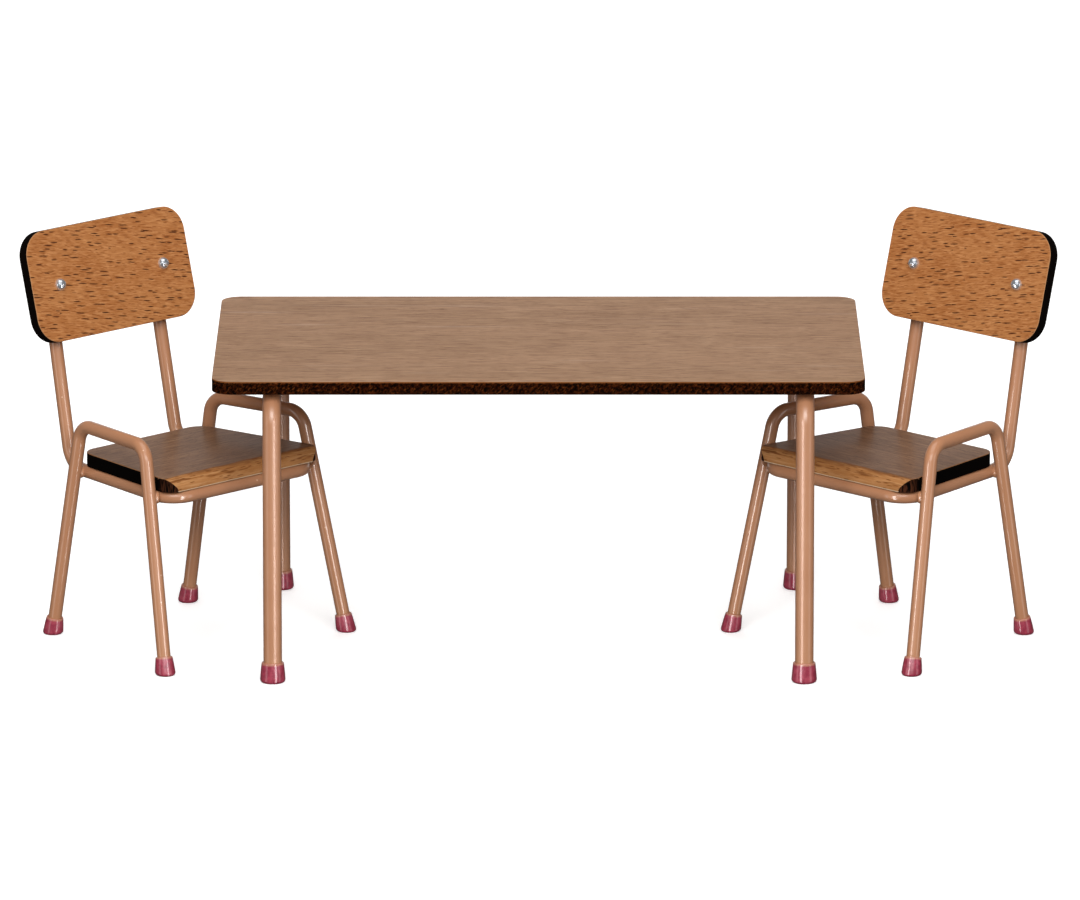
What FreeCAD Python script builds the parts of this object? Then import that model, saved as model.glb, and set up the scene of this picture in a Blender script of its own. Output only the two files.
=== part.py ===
import FreeCAD, Part
import math
import os
import Sketcher

# Miniature table with two armchairs. Bent steel rod frames carry thin plywood boards.
# +Z is up, +X runs along the table, and the origin is on the floor under the table's centre.
# Lengths are millimetres and angles are degrees.

Vector = FreeCAD.Vector
Placement = FreeCAD.Placement
Rotation = FreeCAD.Rotation
X_AXIS = Vector(1, 0, 0)
Y_AXIS = Vector(0, 1, 0)
Z_AXIS = Vector(0, 0, 1)

SIZES = {
    # Tabletop
    "table_length": 210.0,
    "table_depth": 125.0,
    "top_thickness": 4.3,
    "top_corner_radius": 6.5,
    "edge_break": 0.25,
    # Room between the chairs' arms and the table's leg frames, which sets the table's height
    "arm_headroom": 14.5,
    # Table leg frames: an upside-down U of rod at each end
    "leg_diameter": 6.0,
    "leg_end_inset": 19.2,
    "leg_side_inset": 4.6,
    "leg_splay": 3.7,
    "leg_bend_radius": 8.0,
    # Lugs welded to the leg frames, which take the tabletop's screws
    "lug_length": 11.0,
    "lug_width": 9.0,
    "lug_root": 1.6,
    "lug_side_inset": 22.0,
    "lug_screw_reach": 7.2,
    "plate_thickness": 1.2,
    "plate_clearance": 0.02,
    # Screws
    "screw_head_diameter": 3.4,
    "screw_head_height": 1.1,
    "screw_shank_diameter": 1.6,
    "screw_bite": 2.8,
    "screw_clearance": 0.05,
    "screw_point": 0.8,
    "screw_slot_width": 0.45,
    "screw_slot_length": 2.0,
    "screw_slot_depth": 0.6,
    # Table foot caps: the wall round the rod, and how far they flare out below the rim
    "table_cap_height": 6.6,
    "table_cap_wall": 0.6,
    "table_cap_flare": 0.75,
    # Chair foot caps
    "chair_cap_height": 6.0,
    "chair_cap_wall": 0.55,
    "chair_cap_flare": 0.9,
    # All foot caps
    "cap_sole": 1.5,
    "cap_clearance": 0.03,
    "rod_end_clearance": 0.2,
    "cap_edge_radius": 0.8,
    "cap_rim_radius": 0.3,
    # How far each chair's centre stands beyond the table's end and in front of its middle,
    # and how far it is turned from the table's long side
    "chair_end_gap": 10.0,
    "chair_setback": 1.0,
    "chair_turn": 45.3,
    # Chair side frames: rear leg, arm and front leg bent from one rod
    "rod_diameter": 4.4,
    "side_stance": 66.4,
    "side_spacing": 70.8,
    "arm_length": 37.4,
    "arm_setback": 1.1,
    "arm_height": 72.7,
    "arm_bend_radius": 6.4,
    "taper_angle": 8.9,
    "side_lean_angle": 2.5,
    # Chair seat frame: uprights, side rails and front rail bent from one rod
    "rail_height": 56.05,
    "rail_front_overlap": 1.7,
    "rail_rear_overlap": 0.7,
    "rail_corner_radius": 7.5,
    "rear_bend_radius": 8.0,
    "lower_lean_angle": 10.8,
    "upper_lean_angle": 14.4,
    "upright_turn_angle": 4.0,
    "kink_rise": 55.0,
    "kink_radius": 30.0,
    "upright_length": 73.0,
    # Weld beads where the side rails cross the legs
    "weld_gap": 0.1,
    "weld_radius": 2.1,
    # Seat board
    "seat_thickness": 4.6,
    "seat_depth": 50.7,
    "seat_front_overhang": 1.4,
    "seat_rear_corner_radius": 6.5,
    "seat_front_corner_radius": 4.5,
    "seat_rear_clearance": 0.3,
    "seat_front_clearance": 0.5,
    "seat_round_over": 4.0,
    # Flat straps under the seat, which take its screws
    "strap_width": 7.0,
    "strap_root": 1.2,
    "strap_front": 13.0,
    "strap_rear": 14.0,
    "strap_screw_inset": 7.0,
    # Backrest board and its rivets
    "backrest_width": 69.8,
    "backrest_height": 36.8,
    "backrest_thickness": 3.9,
    "backrest_rise": 59.4,
    "backrest_corner_radius": 8.5,
    "rivet_head_diameter": 4.1,
    "rivet_head_height": 2.0,
    "rivet_shank_diameter": 2.0,
    "rivet_clearance": 0.03,
    "rivet_tail_diameter": 3.2,
    "rivet_tail_height": 0.8,
}

PILOT_RADIUS = "Sizes.screw_shank_diameter / 2 + Sizes.screw_clearance"
RIVET_RADIUS = "Sizes.rivet_shank_diameter / 2 + Sizes.rivet_clearance"
ROD_END_HEIGHT = "Sizes.cap_sole + Sizes.rod_end_clearance"
ARM_TOP = "(Sizes.arm_height + Sizes.rod_diameter / 2)"
TABLE_UNDERSIDE = f"({ARM_TOP} + Sizes.arm_headroom + Sizes.leg_diameter)"

document = FreeCAD.newDocument("TableAndChairs")
sheet = document.addObject("Spreadsheet::Sheet", "Sizes")
for row, (alias, number) in enumerate(SIZES.items(), start=1):
    sheet.set(f"A{row}", str(number))
    sheet.setAlias(f"A{row}", alias)
document.recompute()


def size(alias):
    """The sheet's value for one alias."""
    return float(getattr(sheet, alias))


def value_of(expression):
    """The number that an expression over the sheet gives."""
    return sheet.evalExpression(expression)


def bind(feature, **expressions):
    """Bind properties of a feature to expressions over the sheet."""
    for name, expression in expressions.items():
        feature.setExpression(name, expression)


# ---------------------------------------------------------------- sketch helpers


def new_body(label):
    body = document.addObject("PartDesign::Body", label)
    body.Label = label
    return body


def new_sketch(body, name, plane_role):
    """Sketch on one of the body's own origin planes."""
    sketch = body.newObject("Sketcher::SketchObject", name)
    plane = next(f for f in body.Origin.OriginFeatures if f.Role == plane_role)
    sketch.AttachmentSupport = (plane, [""])
    sketch.MapMode = "FlatFace"
    return sketch


def constrain(sketch, rules):
    """Add constraints in one batch, then bind those that come with an expression."""
    first = sketch.ConstraintCount
    sketch.addConstraint([constraint for constraint, _ in rules])
    for number, (_, expression) in enumerate(rules, start=first):
        if expression:
            sketch.setExpression(f"Constraints[{number}]", expression)


def fixed_point(sketch, geometry, position, x_expression, y_expression):
    """Rules that hold one point of a sketch at a place measured from its origin."""
    x = sketch.evalExpression(x_expression)
    y = sketch.evalExpression(y_expression)
    return [
        (Sketcher.Constraint("DistanceX", -1, 1, geometry, position, x), x_expression),
        (Sketcher.Constraint("DistanceY", -1, 1, geometry, position, y), y_expression),
    ]


def fixed_circle(sketch, x_expression, y_expression, radius_expression):
    """Draw a circle whose centre and radius follow expressions."""
    radius = sketch.evalExpression(radius_expression)
    centre = Vector(sketch.evalExpression(x_expression), sketch.evalExpression(y_expression), 0)
    circle = sketch.addGeometry(Part.Circle(centre, Z_AXIS, radius))
    rules = fixed_point(sketch, circle, 3, x_expression, y_expression)
    rules.append((Sketcher.Constraint("Radius", circle, radius), radius_expression))
    constrain(sketch, rules)


def corner_arc(before, corner, after, radius):
    """Arc that rounds a corner: its two tangent points and its counterclockwise geometry."""
    towards_before = (before - corner).normalize()
    towards_after = (after - corner).normalize()
    half_angle = towards_before.getAngle(towards_after) / 2
    start = corner + towards_before * (radius / math.tan(half_angle))
    end = corner + towards_after * (radius / math.tan(half_angle))
    inward = (towards_before + towards_after).normalize()
    centre = corner + inward * (radius / math.sin(half_angle))
    angles = [math.atan2(p.y - centre.y, p.x - centre.x) for p in (start, end)]
    if (angles[1] - angles[0]) % (2 * math.pi) > math.pi:
        angles.reverse()
    return start, Part.ArcOfCircle(Part.Circle(centre, Z_AXIS, radius), *angles), end


def arc_end(sketch, arc, point):
    """Which end of an arc lies at a point: 1 for its start, 2 for its end."""
    geometry = sketch.Geometry[arc]
    at_start = (geometry.StartPoint - point).Length < (geometry.EndPoint - point).Length
    return 1 if at_start else 2


def rounded_outline(sketch, corners, radius_expressions):
    """Closed outline through four corner points, each rounded by a tangent arc of its own."""
    points = [Vector(sketch.evalExpression(x), sketch.evalExpression(y), 0) for x, y in corners]
    radii = [sketch.evalExpression(expression) for expression in radius_expressions]
    count = len(points)
    turns = [
        corner_arc(points[i - 1], points[i], points[(i + 1) % count], radii[i])
        for i in range(count)
    ]
    lines, arcs, marks, rules = [], [], [], []
    for i in range(count):
        run = Part.LineSegment(turns[i][2], turns[(i + 1) % count][0])
        lines.append(sketch.addGeometry(run))
        arcs.append(sketch.addGeometry(turns[i][1]))
        marks.append(sketch.addGeometry(Part.Point(points[i]), True))
        rules += fixed_point(sketch, marks[i], 1, *corners[i])
    for i in range(count):
        line_before = lines[i - 1]
        start, _, end = turns[i]
        start_rule = Sketcher.Constraint(
            "Tangent", line_before, 2, arcs[i], arc_end(sketch, arcs[i], start)
        )
        end_rule = Sketcher.Constraint(
            "Tangent", arcs[i], arc_end(sketch, arcs[i], end), lines[i], 1
        )
        rules += [(start_rule, None), (end_rule, None)]
        rules.append((Sketcher.Constraint("PointOnObject", marks[i], 1, line_before), None))
        rules.append((Sketcher.Constraint("PointOnObject", marks[i], 1, lines[i]), None))
        rules.append((Sketcher.Constraint("Radius", arcs[i], radii[i]), radius_expressions[i]))
    constrain(sketch, rules)


def fixed_profile(sketch, corners):
    """Closed outline whose corner points all follow expressions.

    A corner is (x, y) where a straight edge runs on to the next corner. It is
    (x, y, centre x) where the shorter arc about a centre at that x runs on to it.
    """
    points = [Vector(sketch.evalExpression(c[0]), sketch.evalExpression(c[1]), 0) for c in corners]
    edges, starts, ends, rules = [], [], [], []
    for i, corner in enumerate(corners):
        here, following = points[i], points[(i + 1) % len(points)]
        if len(corner) == 2:
            edges.append(sketch.addGeometry(Part.LineSegment(here, following)))
            starts.append(1)
            ends.append(2)
            continue
        centre_x = sketch.evalExpression(corner[2])
        spans = (here.x - centre_x) ** 2 - (following.x - centre_x) ** 2
        centre_y = (spans + here.y**2 - following.y**2) / (2 * (here.y - following.y))
        centre = Vector(centre_x, centre_y, 0)
        radius = (here - centre).Length
        angles = [math.atan2(p.y - centre.y, p.x - centre.x) for p in (here, following)]
        if (angles[1] - angles[0]) % (2 * math.pi) > math.pi:
            angles.reverse()
        arc = Part.ArcOfCircle(Part.Circle(centre, Z_AXIS, radius), *angles)
        edges.append(sketch.addGeometry(arc))
        starts.append(arc_end(sketch, edges[i], here))
        ends.append(3 - starts[i])
        rule = Sketcher.Constraint("DistanceX", -1, 1, edges[i], 3, centre_x)
        rules.append((rule, corner[2]))
    for i, corner in enumerate(corners):
        rules += fixed_point(sketch, edges[i], starts[i], corner[0], corner[1])
        join = Sketcher.Constraint("Coincident", edges[i - 1], ends[i - 1], edges[i], starts[i])
        rules.append((join, None))
    constrain(sketch, rules)


def floor_to_floor_path(sketch, corners, radius_expression):
    """Open path up one leg, along the top and down the other leg.

    The first and last corner points are where the legs' lines meet the floor, and the path
    stops short of them, just above the foot caps' soles.
    """
    points = [Vector(sketch.evalExpression(x), sketch.evalExpression(y), 0) for x, y in corners]
    radius = sketch.evalExpression(radius_expression)
    height = sketch.evalExpression(ROD_END_HEIGHT)
    turns = [corner_arc(points[i - 1], points[i], points[i + 1], radius) for i in (1, 2)]
    first_rise = (points[1] - points[0]) * (height / points[1].y)
    last_rise = (points[2] - points[3]) * (height / points[2].y)
    lines = [sketch.addGeometry(Part.LineSegment(points[0] + first_rise, turns[0][0]))]
    arcs = [sketch.addGeometry(turns[0][1])]
    lines.append(sketch.addGeometry(Part.LineSegment(turns[0][2], turns[1][0])))
    arcs.append(sketch.addGeometry(turns[1][1]))
    lines.append(sketch.addGeometry(Part.LineSegment(turns[1][2], points[3] + last_rise)))
    marks = [sketch.addGeometry(Part.Point(point), True) for point in points]
    rules = []
    for mark, corner in zip(marks, corners):
        rules += fixed_point(sketch, mark, 1, *corner)
    for i, line in enumerate(lines):
        rules.append((Sketcher.Constraint("PointOnObject", marks[i], 1, line), None))
        rules.append((Sketcher.Constraint("PointOnObject", marks[i + 1], 1, line), None))
    for i, arc in enumerate(arcs):
        start, _, end = turns[i]
        start_end = arc_end(sketch, arc, start)
        end_end = arc_end(sketch, arc, end)
        rules.append((Sketcher.Constraint("Tangent", lines[i], 2, arc, start_end), None))
        rules.append((Sketcher.Constraint("Tangent", arc, end_end, lines[i + 1], 1), None))
        rules.append((Sketcher.Constraint("Radius", arc, radius), radius_expression))
    for line, position in ((lines[0], 1), (lines[2], 2)):
        rule = Sketcher.Constraint("DistanceY", -1, 1, line, position, height)
        rules.append((rule, ROD_END_HEIGHT))
    constrain(sketch, rules)


def bent_rod(label, plane_role, corners, bend_radius, diameter):
    """Body of one round rod swept along a path that starts and ends at the floor."""
    body = new_body(label)
    path = new_sketch(body, "Path", plane_role)
    floor_to_floor_path(path, corners, bend_radius)
    document.recompute()
    section = body.newObject("Sketcher::SketchObject", "Section")
    section.AttachmentSupport = (path, ["Edge1"])
    section.MapMode = "NormalToEdge"
    fixed_circle(section, "0", "0", f"{diameter} / 2")
    document.recompute()
    rod = body.newObject("PartDesign::AdditivePipe", "Rod")
    rod.Profile = (section, [""])
    rod.Spine = (path, [f"Edge{n}" for n in range(1, len(path.Shape.Edges) + 1)])
    return body


def edges_where(shape, test):
    """Numbers of the shape's edges that pass a test, counted from 1 as FreeCAD counts them."""
    return [n for n, edge in enumerate(shape.Edges, start=1) if test(edge)]


def faces_where(shape, test):
    return [f"Face{n}" for n, face in enumerate(shape.Faces, start=1) if test(face)]


def break_edges(body, feature):
    """Round off the sharp edges round a board's top and bottom faces."""
    document.recompute()
    faces = faces_where(feature.Shape, lambda face: face.BoundBox.ZLength < 0.01)
    fillet = body.newObject("PartDesign::Fillet", "EdgeBreak")
    fillet.Base = (feature, faces)
    bind(fillet, Radius="Sizes.edge_break")
    return fillet


# ---------------------------------------------------------------- solids from primitives


def cylinder_between(name, start, end, radius_expression):
    """Cylinder from one point to another, its radius bound to the sheet."""
    cylinder = document.addObject("Part::Cylinder", name)
    bind(cylinder, Radius=radius_expression)
    cylinder.Height = (end - start).Length
    cylinder.Placement = Placement(start, Rotation(Z_AXIS, end - start))
    return cylinder


def cut(name, base, tools):
    """Base with every tool taken away from it."""
    tool = tools[0]
    if len(tools) > 1:
        tool = document.addObject("Part::MultiFuse", f"{name}_tools")
        tool.Shapes = tools
    result = document.addObject("Part::Cut", name)
    result.Base = base
    result.Tool = tool
    result.Label = name
    return result


def group(label, members):
    """One sub-part made of several separate solids."""
    compound = document.addObject("Part::Compound", label)
    compound.Links = members
    compound.Label = label
    return compound


def rounded_wire(points, radii):
    """Wire through points in space, each inner corner rounded by a tangent arc."""
    edges = []
    last = points[0]
    for i, radius in enumerate(radii, start=1):
        towards_before = (points[i - 1] - points[i]).normalize()
        towards_after = (points[i + 1] - points[i]).normalize()
        half_angle = towards_before.getAngle(towards_after) / 2
        reach = radius / math.tan(half_angle)
        start = points[i] + towards_before * reach
        end = points[i] + towards_after * reach
        inward = (towards_before + towards_after).normalize()
        middle = points[i] + inward * (radius / math.sin(half_angle) - radius)
        edges.append(Part.LineSegment(last, start).toShape())
        edges.append(Part.Arc(start, middle, end).toShape())
        last = end
    edges.append(Part.LineSegment(last, points[-1]).toShape())
    return Part.Wire(edges)


def foot_cap(label, kind, rod, foot, direction, pose):
    """Soft cap on a rod's end: a flared sleeve along the rod, flat where it meets the floor.

    foot is where the rod's axis meets the floor, and direction runs up the rod.
    """
    trim = size("cap_sole")
    rim_radius = f"(Sizes.{rod} / 2 + Sizes.{kind}_cap_wall)"
    foot_radius = f"({rim_radius} + Sizes.{kind}_cap_flare)"
    flare = document.addObject("Part::Cone", f"{label}_flare")
    bind(
        flare,
        Radius1=foot_radius,
        Radius2=rim_radius,
        Height=f"Sizes.{kind}_cap_height + Sizes.cap_sole",
    )
    turn = Rotation(Z_AXIS, direction)
    flare.Placement = Placement(foot - direction * trim, turn)
    above_floor = document.addObject("Part::Box", f"{label}_above_floor")
    bind(
        above_floor,
        Length=f"{foot_radius} * 4",
        Width=f"{foot_radius} * 4",
        Height=f"Sizes.{kind}_cap_height * 2",
    )
    half = value_of(foot_radius) * 2
    above_floor.Placement.Base = foot - Vector(half, half, 0)
    blank = document.addObject("Part::Common", f"{label}_blank")
    blank.Base = flare
    blank.Tool = above_floor
    socket = document.addObject("Part::Cylinder", f"{label}_socket")
    bind(
        socket,
        Radius=f"Sizes.{rod} / 2 + Sizes.cap_clearance",
        Height=f"Sizes.{kind}_cap_height",
    )
    socket.Placement = Placement(foot + direction * size("cap_sole"), turn)
    sleeve = cut(f"{label}_sleeve", blank, [socket])
    document.recompute()
    sole_edges = edges_where(sleeve.Shape, lambda edge: edge.BoundBox.ZMax < 0.05)
    rim_edges = edges_where(
        sleeve.Shape,
        lambda edge: edge.Curve.TypeId == "Part::GeomCircle"
        and abs(edge.Curve.Radius - value_of(rim_radius)) < 0.01,
    )
    cap = document.addObject("Part::Fillet", label)
    cap.Base = sleeve
    sole_round, rim_round = size("cap_edge_radius"), size("cap_rim_radius")
    cap.Edges = [(n, sole_round, sole_round) for n in sole_edges] + [
        (n, rim_round, rim_round) for n in rim_edges
    ]
    cap.Placement = pose
    cap.Label = label
    return cap


def turned_body(label, corners):
    """Body of revolution about its own Z axis, from an outline of its right half."""
    body = new_body(label)
    profile = new_sketch(body, "Profile", "XZ_Plane")
    fixed_profile(profile, corners)
    document.recompute()
    turned = body.newObject("PartDesign::Revolution", "Turned")
    turned.Profile = profile
    turned.ReferenceAxis = (profile, ["V_Axis"])
    turned.Angle = 360
    return body


def screw(name, seat):
    """Screw driven upward through a plate: its head bears on the plate at the seat point."""
    grip = "(Sizes.plate_thickness + Sizes.screw_bite - Sizes.screw_clearance)"
    shank = "Sizes.screw_shank_diameter / 2"
    blank = turned_body(
        f"{name}_blank",
        [
            ("0", f"-{grip}"),
            (shank, f"-{grip} + Sizes.screw_point"),
            (shank, "0"),
            ("Sizes.screw_head_diameter / 2", "0", "0"),
            ("0", "Sizes.screw_head_height"),
        ],
    )
    slots = []
    for angle in (0, 90):
        slot = document.addObject("Part::Box", f"{name}_slot_{angle}")
        bind(
            slot,
            Length="Sizes.screw_slot_length",
            Width="Sizes.screw_slot_width",
            Height="Sizes.screw_slot_depth",
        )
        corner = Vector(size("screw_slot_length"), size("screw_slot_width"), 0) * -0.5
        corner.z = size("screw_head_height") - size("screw_slot_depth")
        turn = Rotation(Z_AXIS, angle)
        slot.Placement = Placement(turn.multVec(corner), turn)
        slots.append(slot)
    driven = cut(name, blank, slots)
    driven.Placement = Placement(seat, Rotation(X_AXIS, 180))
    return driven


# ---------------------------------------------------------------- table


def build_tabletop():
    body = new_body("table_top")
    outline = new_sketch(body, "Outline", "XY_Plane")
    x, y = "Sizes.table_length / 2", "Sizes.table_depth / 2"
    corners = [(f"-{x}", f"-{y}"), (x, f"-{y}"), (x, y), (f"-{x}", y)]
    rounded_outline(outline, corners, ["Sizes.top_corner_radius"] * 4)
    board = body.newObject("PartDesign::Pad", "Board")
    board.Profile = outline
    bind(board, Length="Sizes.top_thickness")
    break_edges(body, board)
    pilots = new_sketch(body, "Pilots", "XY_Plane")
    pilot_x = "(Sizes.table_length / 2 - Sizes.leg_end_inset - Sizes.lug_screw_reach)"
    pilot_y = "(Sizes.table_depth / 2 - Sizes.lug_side_inset)"
    for x_sign in ("-", ""):
        for y_sign in ("-", ""):
            fixed_circle(pilots, x_sign + pilot_x, y_sign + pilot_y, PILOT_RADIUS)
    drill_upward(body, pilots)
    body.Placement.Base.z = value_of(TABLE_UNDERSIDE)
    return body


def build_leg_frame(label, side):
    """Leg frame under one end: up from the floor, across under the top and down again."""
    foot_y = "(Sizes.table_depth / 2 - Sizes.leg_side_inset + Sizes.leg_splay)"
    shoulder_y = "(Sizes.table_depth / 2 - Sizes.leg_side_inset)"
    bar_z = f"{TABLE_UNDERSIDE} - Sizes.leg_diameter / 2"
    corners = [(f"-{foot_y}", "0"), (f"-{shoulder_y}", bar_z), (shoulder_y, bar_z), (foot_y, "0")]
    frame = bent_rod(
        label, "YZ_Plane", corners, "Sizes.leg_bend_radius", "Sizes.leg_diameter"
    )
    frame.Placement.Base.x = side * leg_frame_x()
    return frame


def leg_frame_x():
    return size("table_length") / 2 - size("leg_end_inset")


def build_lug(label, side, y):
    """Flat plate coped to the leg frame's bar, with one screw hole."""
    underside = value_of(TABLE_UNDERSIDE)
    bar = Vector(side * leg_frame_x(), 0, underside - size("leg_diameter") / 2)
    plate = document.addObject("Part::Box", f"{label}_plate")
    bind(
        plate,
        Length="Sizes.lug_length",
        Width="Sizes.lug_width",
        Height="Sizes.plate_thickness",
    )
    near_edge = bar.x - side * size("lug_root")
    low_x = near_edge - size("lug_length") if side > 0 else near_edge
    low_z = underside - size("plate_thickness")
    plate.Placement.Base = Vector(low_x, y - size("lug_width") / 2, low_z)
    reach = Vector(0, size("lug_width"), 0)
    middle = Vector(bar.x, y, bar.z)
    bar_room = cylinder_between(
        f"{label}_bar_room",
        middle - reach,
        middle + reach,
        "Sizes.leg_diameter / 2 + Sizes.plate_clearance",
    )
    hole_x = bar.x - side * size("lug_screw_reach")
    hole = plate_hole(f"{label}_hole", Vector(hole_x, y, underside))
    return cut(label, plate, [bar_room, hole]), Vector(hole_x, y, low_z)


def plate_hole(name, top):
    """Tool that drills a screw's clearance hole down through a plate from its top face."""
    depth = Vector(0, 0, size("plate_thickness"))
    return cylinder_between(name, top - depth * 2, top + depth, PILOT_RADIUS)


def drill_upward(body, sketch):
    """Blind pilot holes for the screws, from the board's underside."""
    document.recompute()
    solid_volume = body.Shape.Volume
    pocket = body.newObject("PartDesign::Pocket", "PilotHoles")
    pocket.Profile = sketch
    pocket.Reversed = True
    bind(pocket, Length="Sizes.screw_bite")
    document.recompute()
    if body.Shape.Volume >= solid_volume:
        raise RuntimeError(f"{body.Label}: the pilot holes miss the board")


def build_table():
    parts = [build_tabletop()]
    for end, side in (("left", -1), ("right", 1)):
        parts.append(build_leg_frame(f"table_leg_frame_{end}", side))
        screws = []
        for edge, way in (("front", -1), ("rear", 1)):
            y = way * (size("table_depth") / 2 - size("lug_side_inset"))
            lug, seat = build_lug(f"table_lug_{end}_{edge}", side, y)
            parts.append(lug)
            screws.append(screw(f"table_screw_{end}_{edge}", seat))
            shoulder_y = size("table_depth") / 2 - size("leg_side_inset")
            foot = Vector(side * leg_frame_x(), way * (shoulder_y + size("leg_splay")), 0)
            bar_z = value_of(TABLE_UNDERSIDE) - size("leg_diameter") / 2
            shoulder = Vector(foot.x, way * shoulder_y, bar_z)
            label = f"table_foot_cap_{end}_{edge}"
            uphill = (shoulder - foot).normalize()
            parts.append(foot_cap(label, "table", "leg_diameter", foot, uphill, Placement()))
        parts.append(group(f"table_screws_{end}", screws))
    return parts


# ---------------------------------------------------------------- chair
# A chair is drawn facing +X, with its centre on the floor midway between front and rear feet.
# Its left-hand side is +Y.

TAPER = "(Sizes.taper_angle * 1 deg)"
SIDE_LEAN = "(Sizes.side_lean_angle * 1 deg)"
LOWER_LEAN = "(Sizes.lower_lean_angle * 1 deg)"
UPPER_LEAN = "(Sizes.upper_lean_angle * 1 deg)"
UPRIGHT_TURN = "(Sizes.upright_turn_angle * 1 deg)"
RAIL_INSET = "(Sizes.rod_diameter + Sizes.weld_gap)"
LEG_RUN = "Sizes.rail_height / Sizes.arm_height"
FRONT_LEG_RUN = "(Sizes.side_stance / 2 - Sizes.arm_length / 2 + Sizes.arm_setback)"
REAR_LEG_RUN = "(Sizes.side_stance / 2 - Sizes.arm_length / 2 - Sizes.arm_setback)"
FRONT_CROSSING = f"(Sizes.side_stance / 2 - {FRONT_LEG_RUN} * {LEG_RUN})"
REAR_CROSSING = f"(Sizes.side_stance / 2 - {REAR_LEG_RUN} * {LEG_RUN})"
RAIL_FRONT = f"({FRONT_CROSSING} + Sizes.rail_corner_radius - Sizes.rail_front_overlap)"
RAIL_REAR = f"({REAR_CROSSING} + Sizes.rear_bend_radius - Sizes.rail_rear_overlap)"
SEAT_FRONT = f"({RAIL_FRONT} + Sizes.seat_front_overhang)"
SEAT_REAR = f"({SEAT_FRONT} - Sizes.seat_depth)"


def side_distance(x, z, inset):
    """Expression for how far a side frame's plane stands from the centre line at x and z.

    inset is how far inside the plane the wanted point lies, measured square to the plane.
    """
    spread = f"tan{TAPER} * ({x}) - tan{SIDE_LEAN} / cos{TAPER} * ({z})"
    return f"(Sizes.side_spacing / 2 + {spread} - ({inset}) / (cos{TAPER} * cos{SIDE_LEAN}))"


def rail_distance(x):
    """Expression for a side rail's axis, which runs inside the legs and touches them."""
    return side_distance(x, "Sizes.rail_height", RAIL_INSET)


def side_pose(side):
    """Pose of one side frame's plane: turned by the taper, then leaned inward at the top."""
    turn = Rotation(Z_AXIS, side * size("taper_angle"))
    lean = Rotation(X_AXIS, side * size("side_lean_angle"))
    return Placement(Vector(0, side * size("side_spacing") / 2, 0), turn.multiply(lean))


def side_frame_corners():
    """Corner points of a side frame in its own plane: foot, arm's rear, arm's front, foot."""
    rear = "(-Sizes.arm_setback - Sizes.arm_length / 2)"
    front = "(-Sizes.arm_setback + Sizes.arm_length / 2)"
    foot = "Sizes.side_stance / 2"
    return [
        (f"-{foot}", "0"),
        (rear, "Sizes.arm_height"),
        (front, "Sizes.arm_height"),
        (foot, "0"),
    ]


def side_frame_points():
    """The same four points as numbers, in the side frame's plane."""
    pairs = side_frame_corners()
    return [Vector(value_of(x), 0, value_of(z)) for x, z in pairs]


def build_side_frame(label, side, pose):
    frame = bent_rod(
        label,
        "XZ_Plane",
        side_frame_corners(),
        "Sizes.arm_bend_radius",
        "Sizes.rod_diameter",
    )
    frame.Placement = pose.multiply(side_pose(side))
    return frame


def upright_directions(side):
    """Unit vectors up an upright below and above its kink."""
    turn = math.radians(size("upright_turn_angle"))
    back = Vector(-math.cos(turn), -side * math.sin(turn), 0)
    leans = [math.radians(size(name)) for name in ("lower_lean_angle", "upper_lean_angle")]
    return [back * math.sin(lean) + Z_AXIS * math.cos(lean) for lean in leans]


def rail_point(x, side):
    distance = value_of(rail_distance(str(x)))
    return Vector(x, side * distance, size("rail_height"))


def upright_point(rise, side):
    """Point on an upright's axis, a distance along it from the bend at the rail's rear."""
    below, above = upright_directions(side)
    kink = rail_point(-value_of(RAIL_REAR), side) + below * size("kink_rise")
    return kink + above * (rise - size("kink_rise"))


def backrest_axes():
    """Unit vectors up and square out of the backrest's front face."""
    above = upright_directions(1)[1]
    up = Vector(above.x, 0, above.z).normalize()
    return up, Y_AXIS.cross(up)


def build_seat_frame(label, pose):
    """Uprights, side rails and front rail, bent from one rod and drilled for the rivets."""
    right_half = [
        upright_point(size("upright_length"), -1),
        upright_point(size("kink_rise"), -1),
        rail_point(-value_of(RAIL_REAR), -1),
        rail_point(value_of(RAIL_FRONT), -1),
    ]
    left_half = [Vector(point.x, -point.y, point.z) for point in reversed(right_half)]
    half_radii = [size("kink_radius"), size("rear_bend_radius"), size("rail_corner_radius")]
    path = document.addObject("Part::Feature", f"{label}_path")
    path.Shape = rounded_wire(right_half + left_half, half_radii + half_radii[::-1])
    section = document.addObject("Part::Circle", f"{label}_section")
    bind(section, Radius="Sizes.rod_diameter / 2")
    start_direction = right_half[1] - right_half[0]
    section.Placement = Placement(right_half[0], Rotation(Z_AXIS, start_direction))
    rod = document.addObject("Part::Sweep", f"{label}_rod")
    rod.Sections = [section]
    rod.Spine = (path, [f"Edge{n}" for n in range(1, len(path.Shape.Edges) + 1)])
    rod.Solid = True
    holes = []
    outward = backrest_axes()[1] * size("rod_diameter")
    for side in (-1, 1):
        middle = upright_point(size("backrest_rise"), side)
        name = f"{label}_rivet_hole_{len(holes)}"
        holes.append(cylinder_between(name, middle - outward, middle + outward, RIVET_RADIUS))
    frame = cut(label, rod, holes)
    frame.Placement = pose
    return frame


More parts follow.
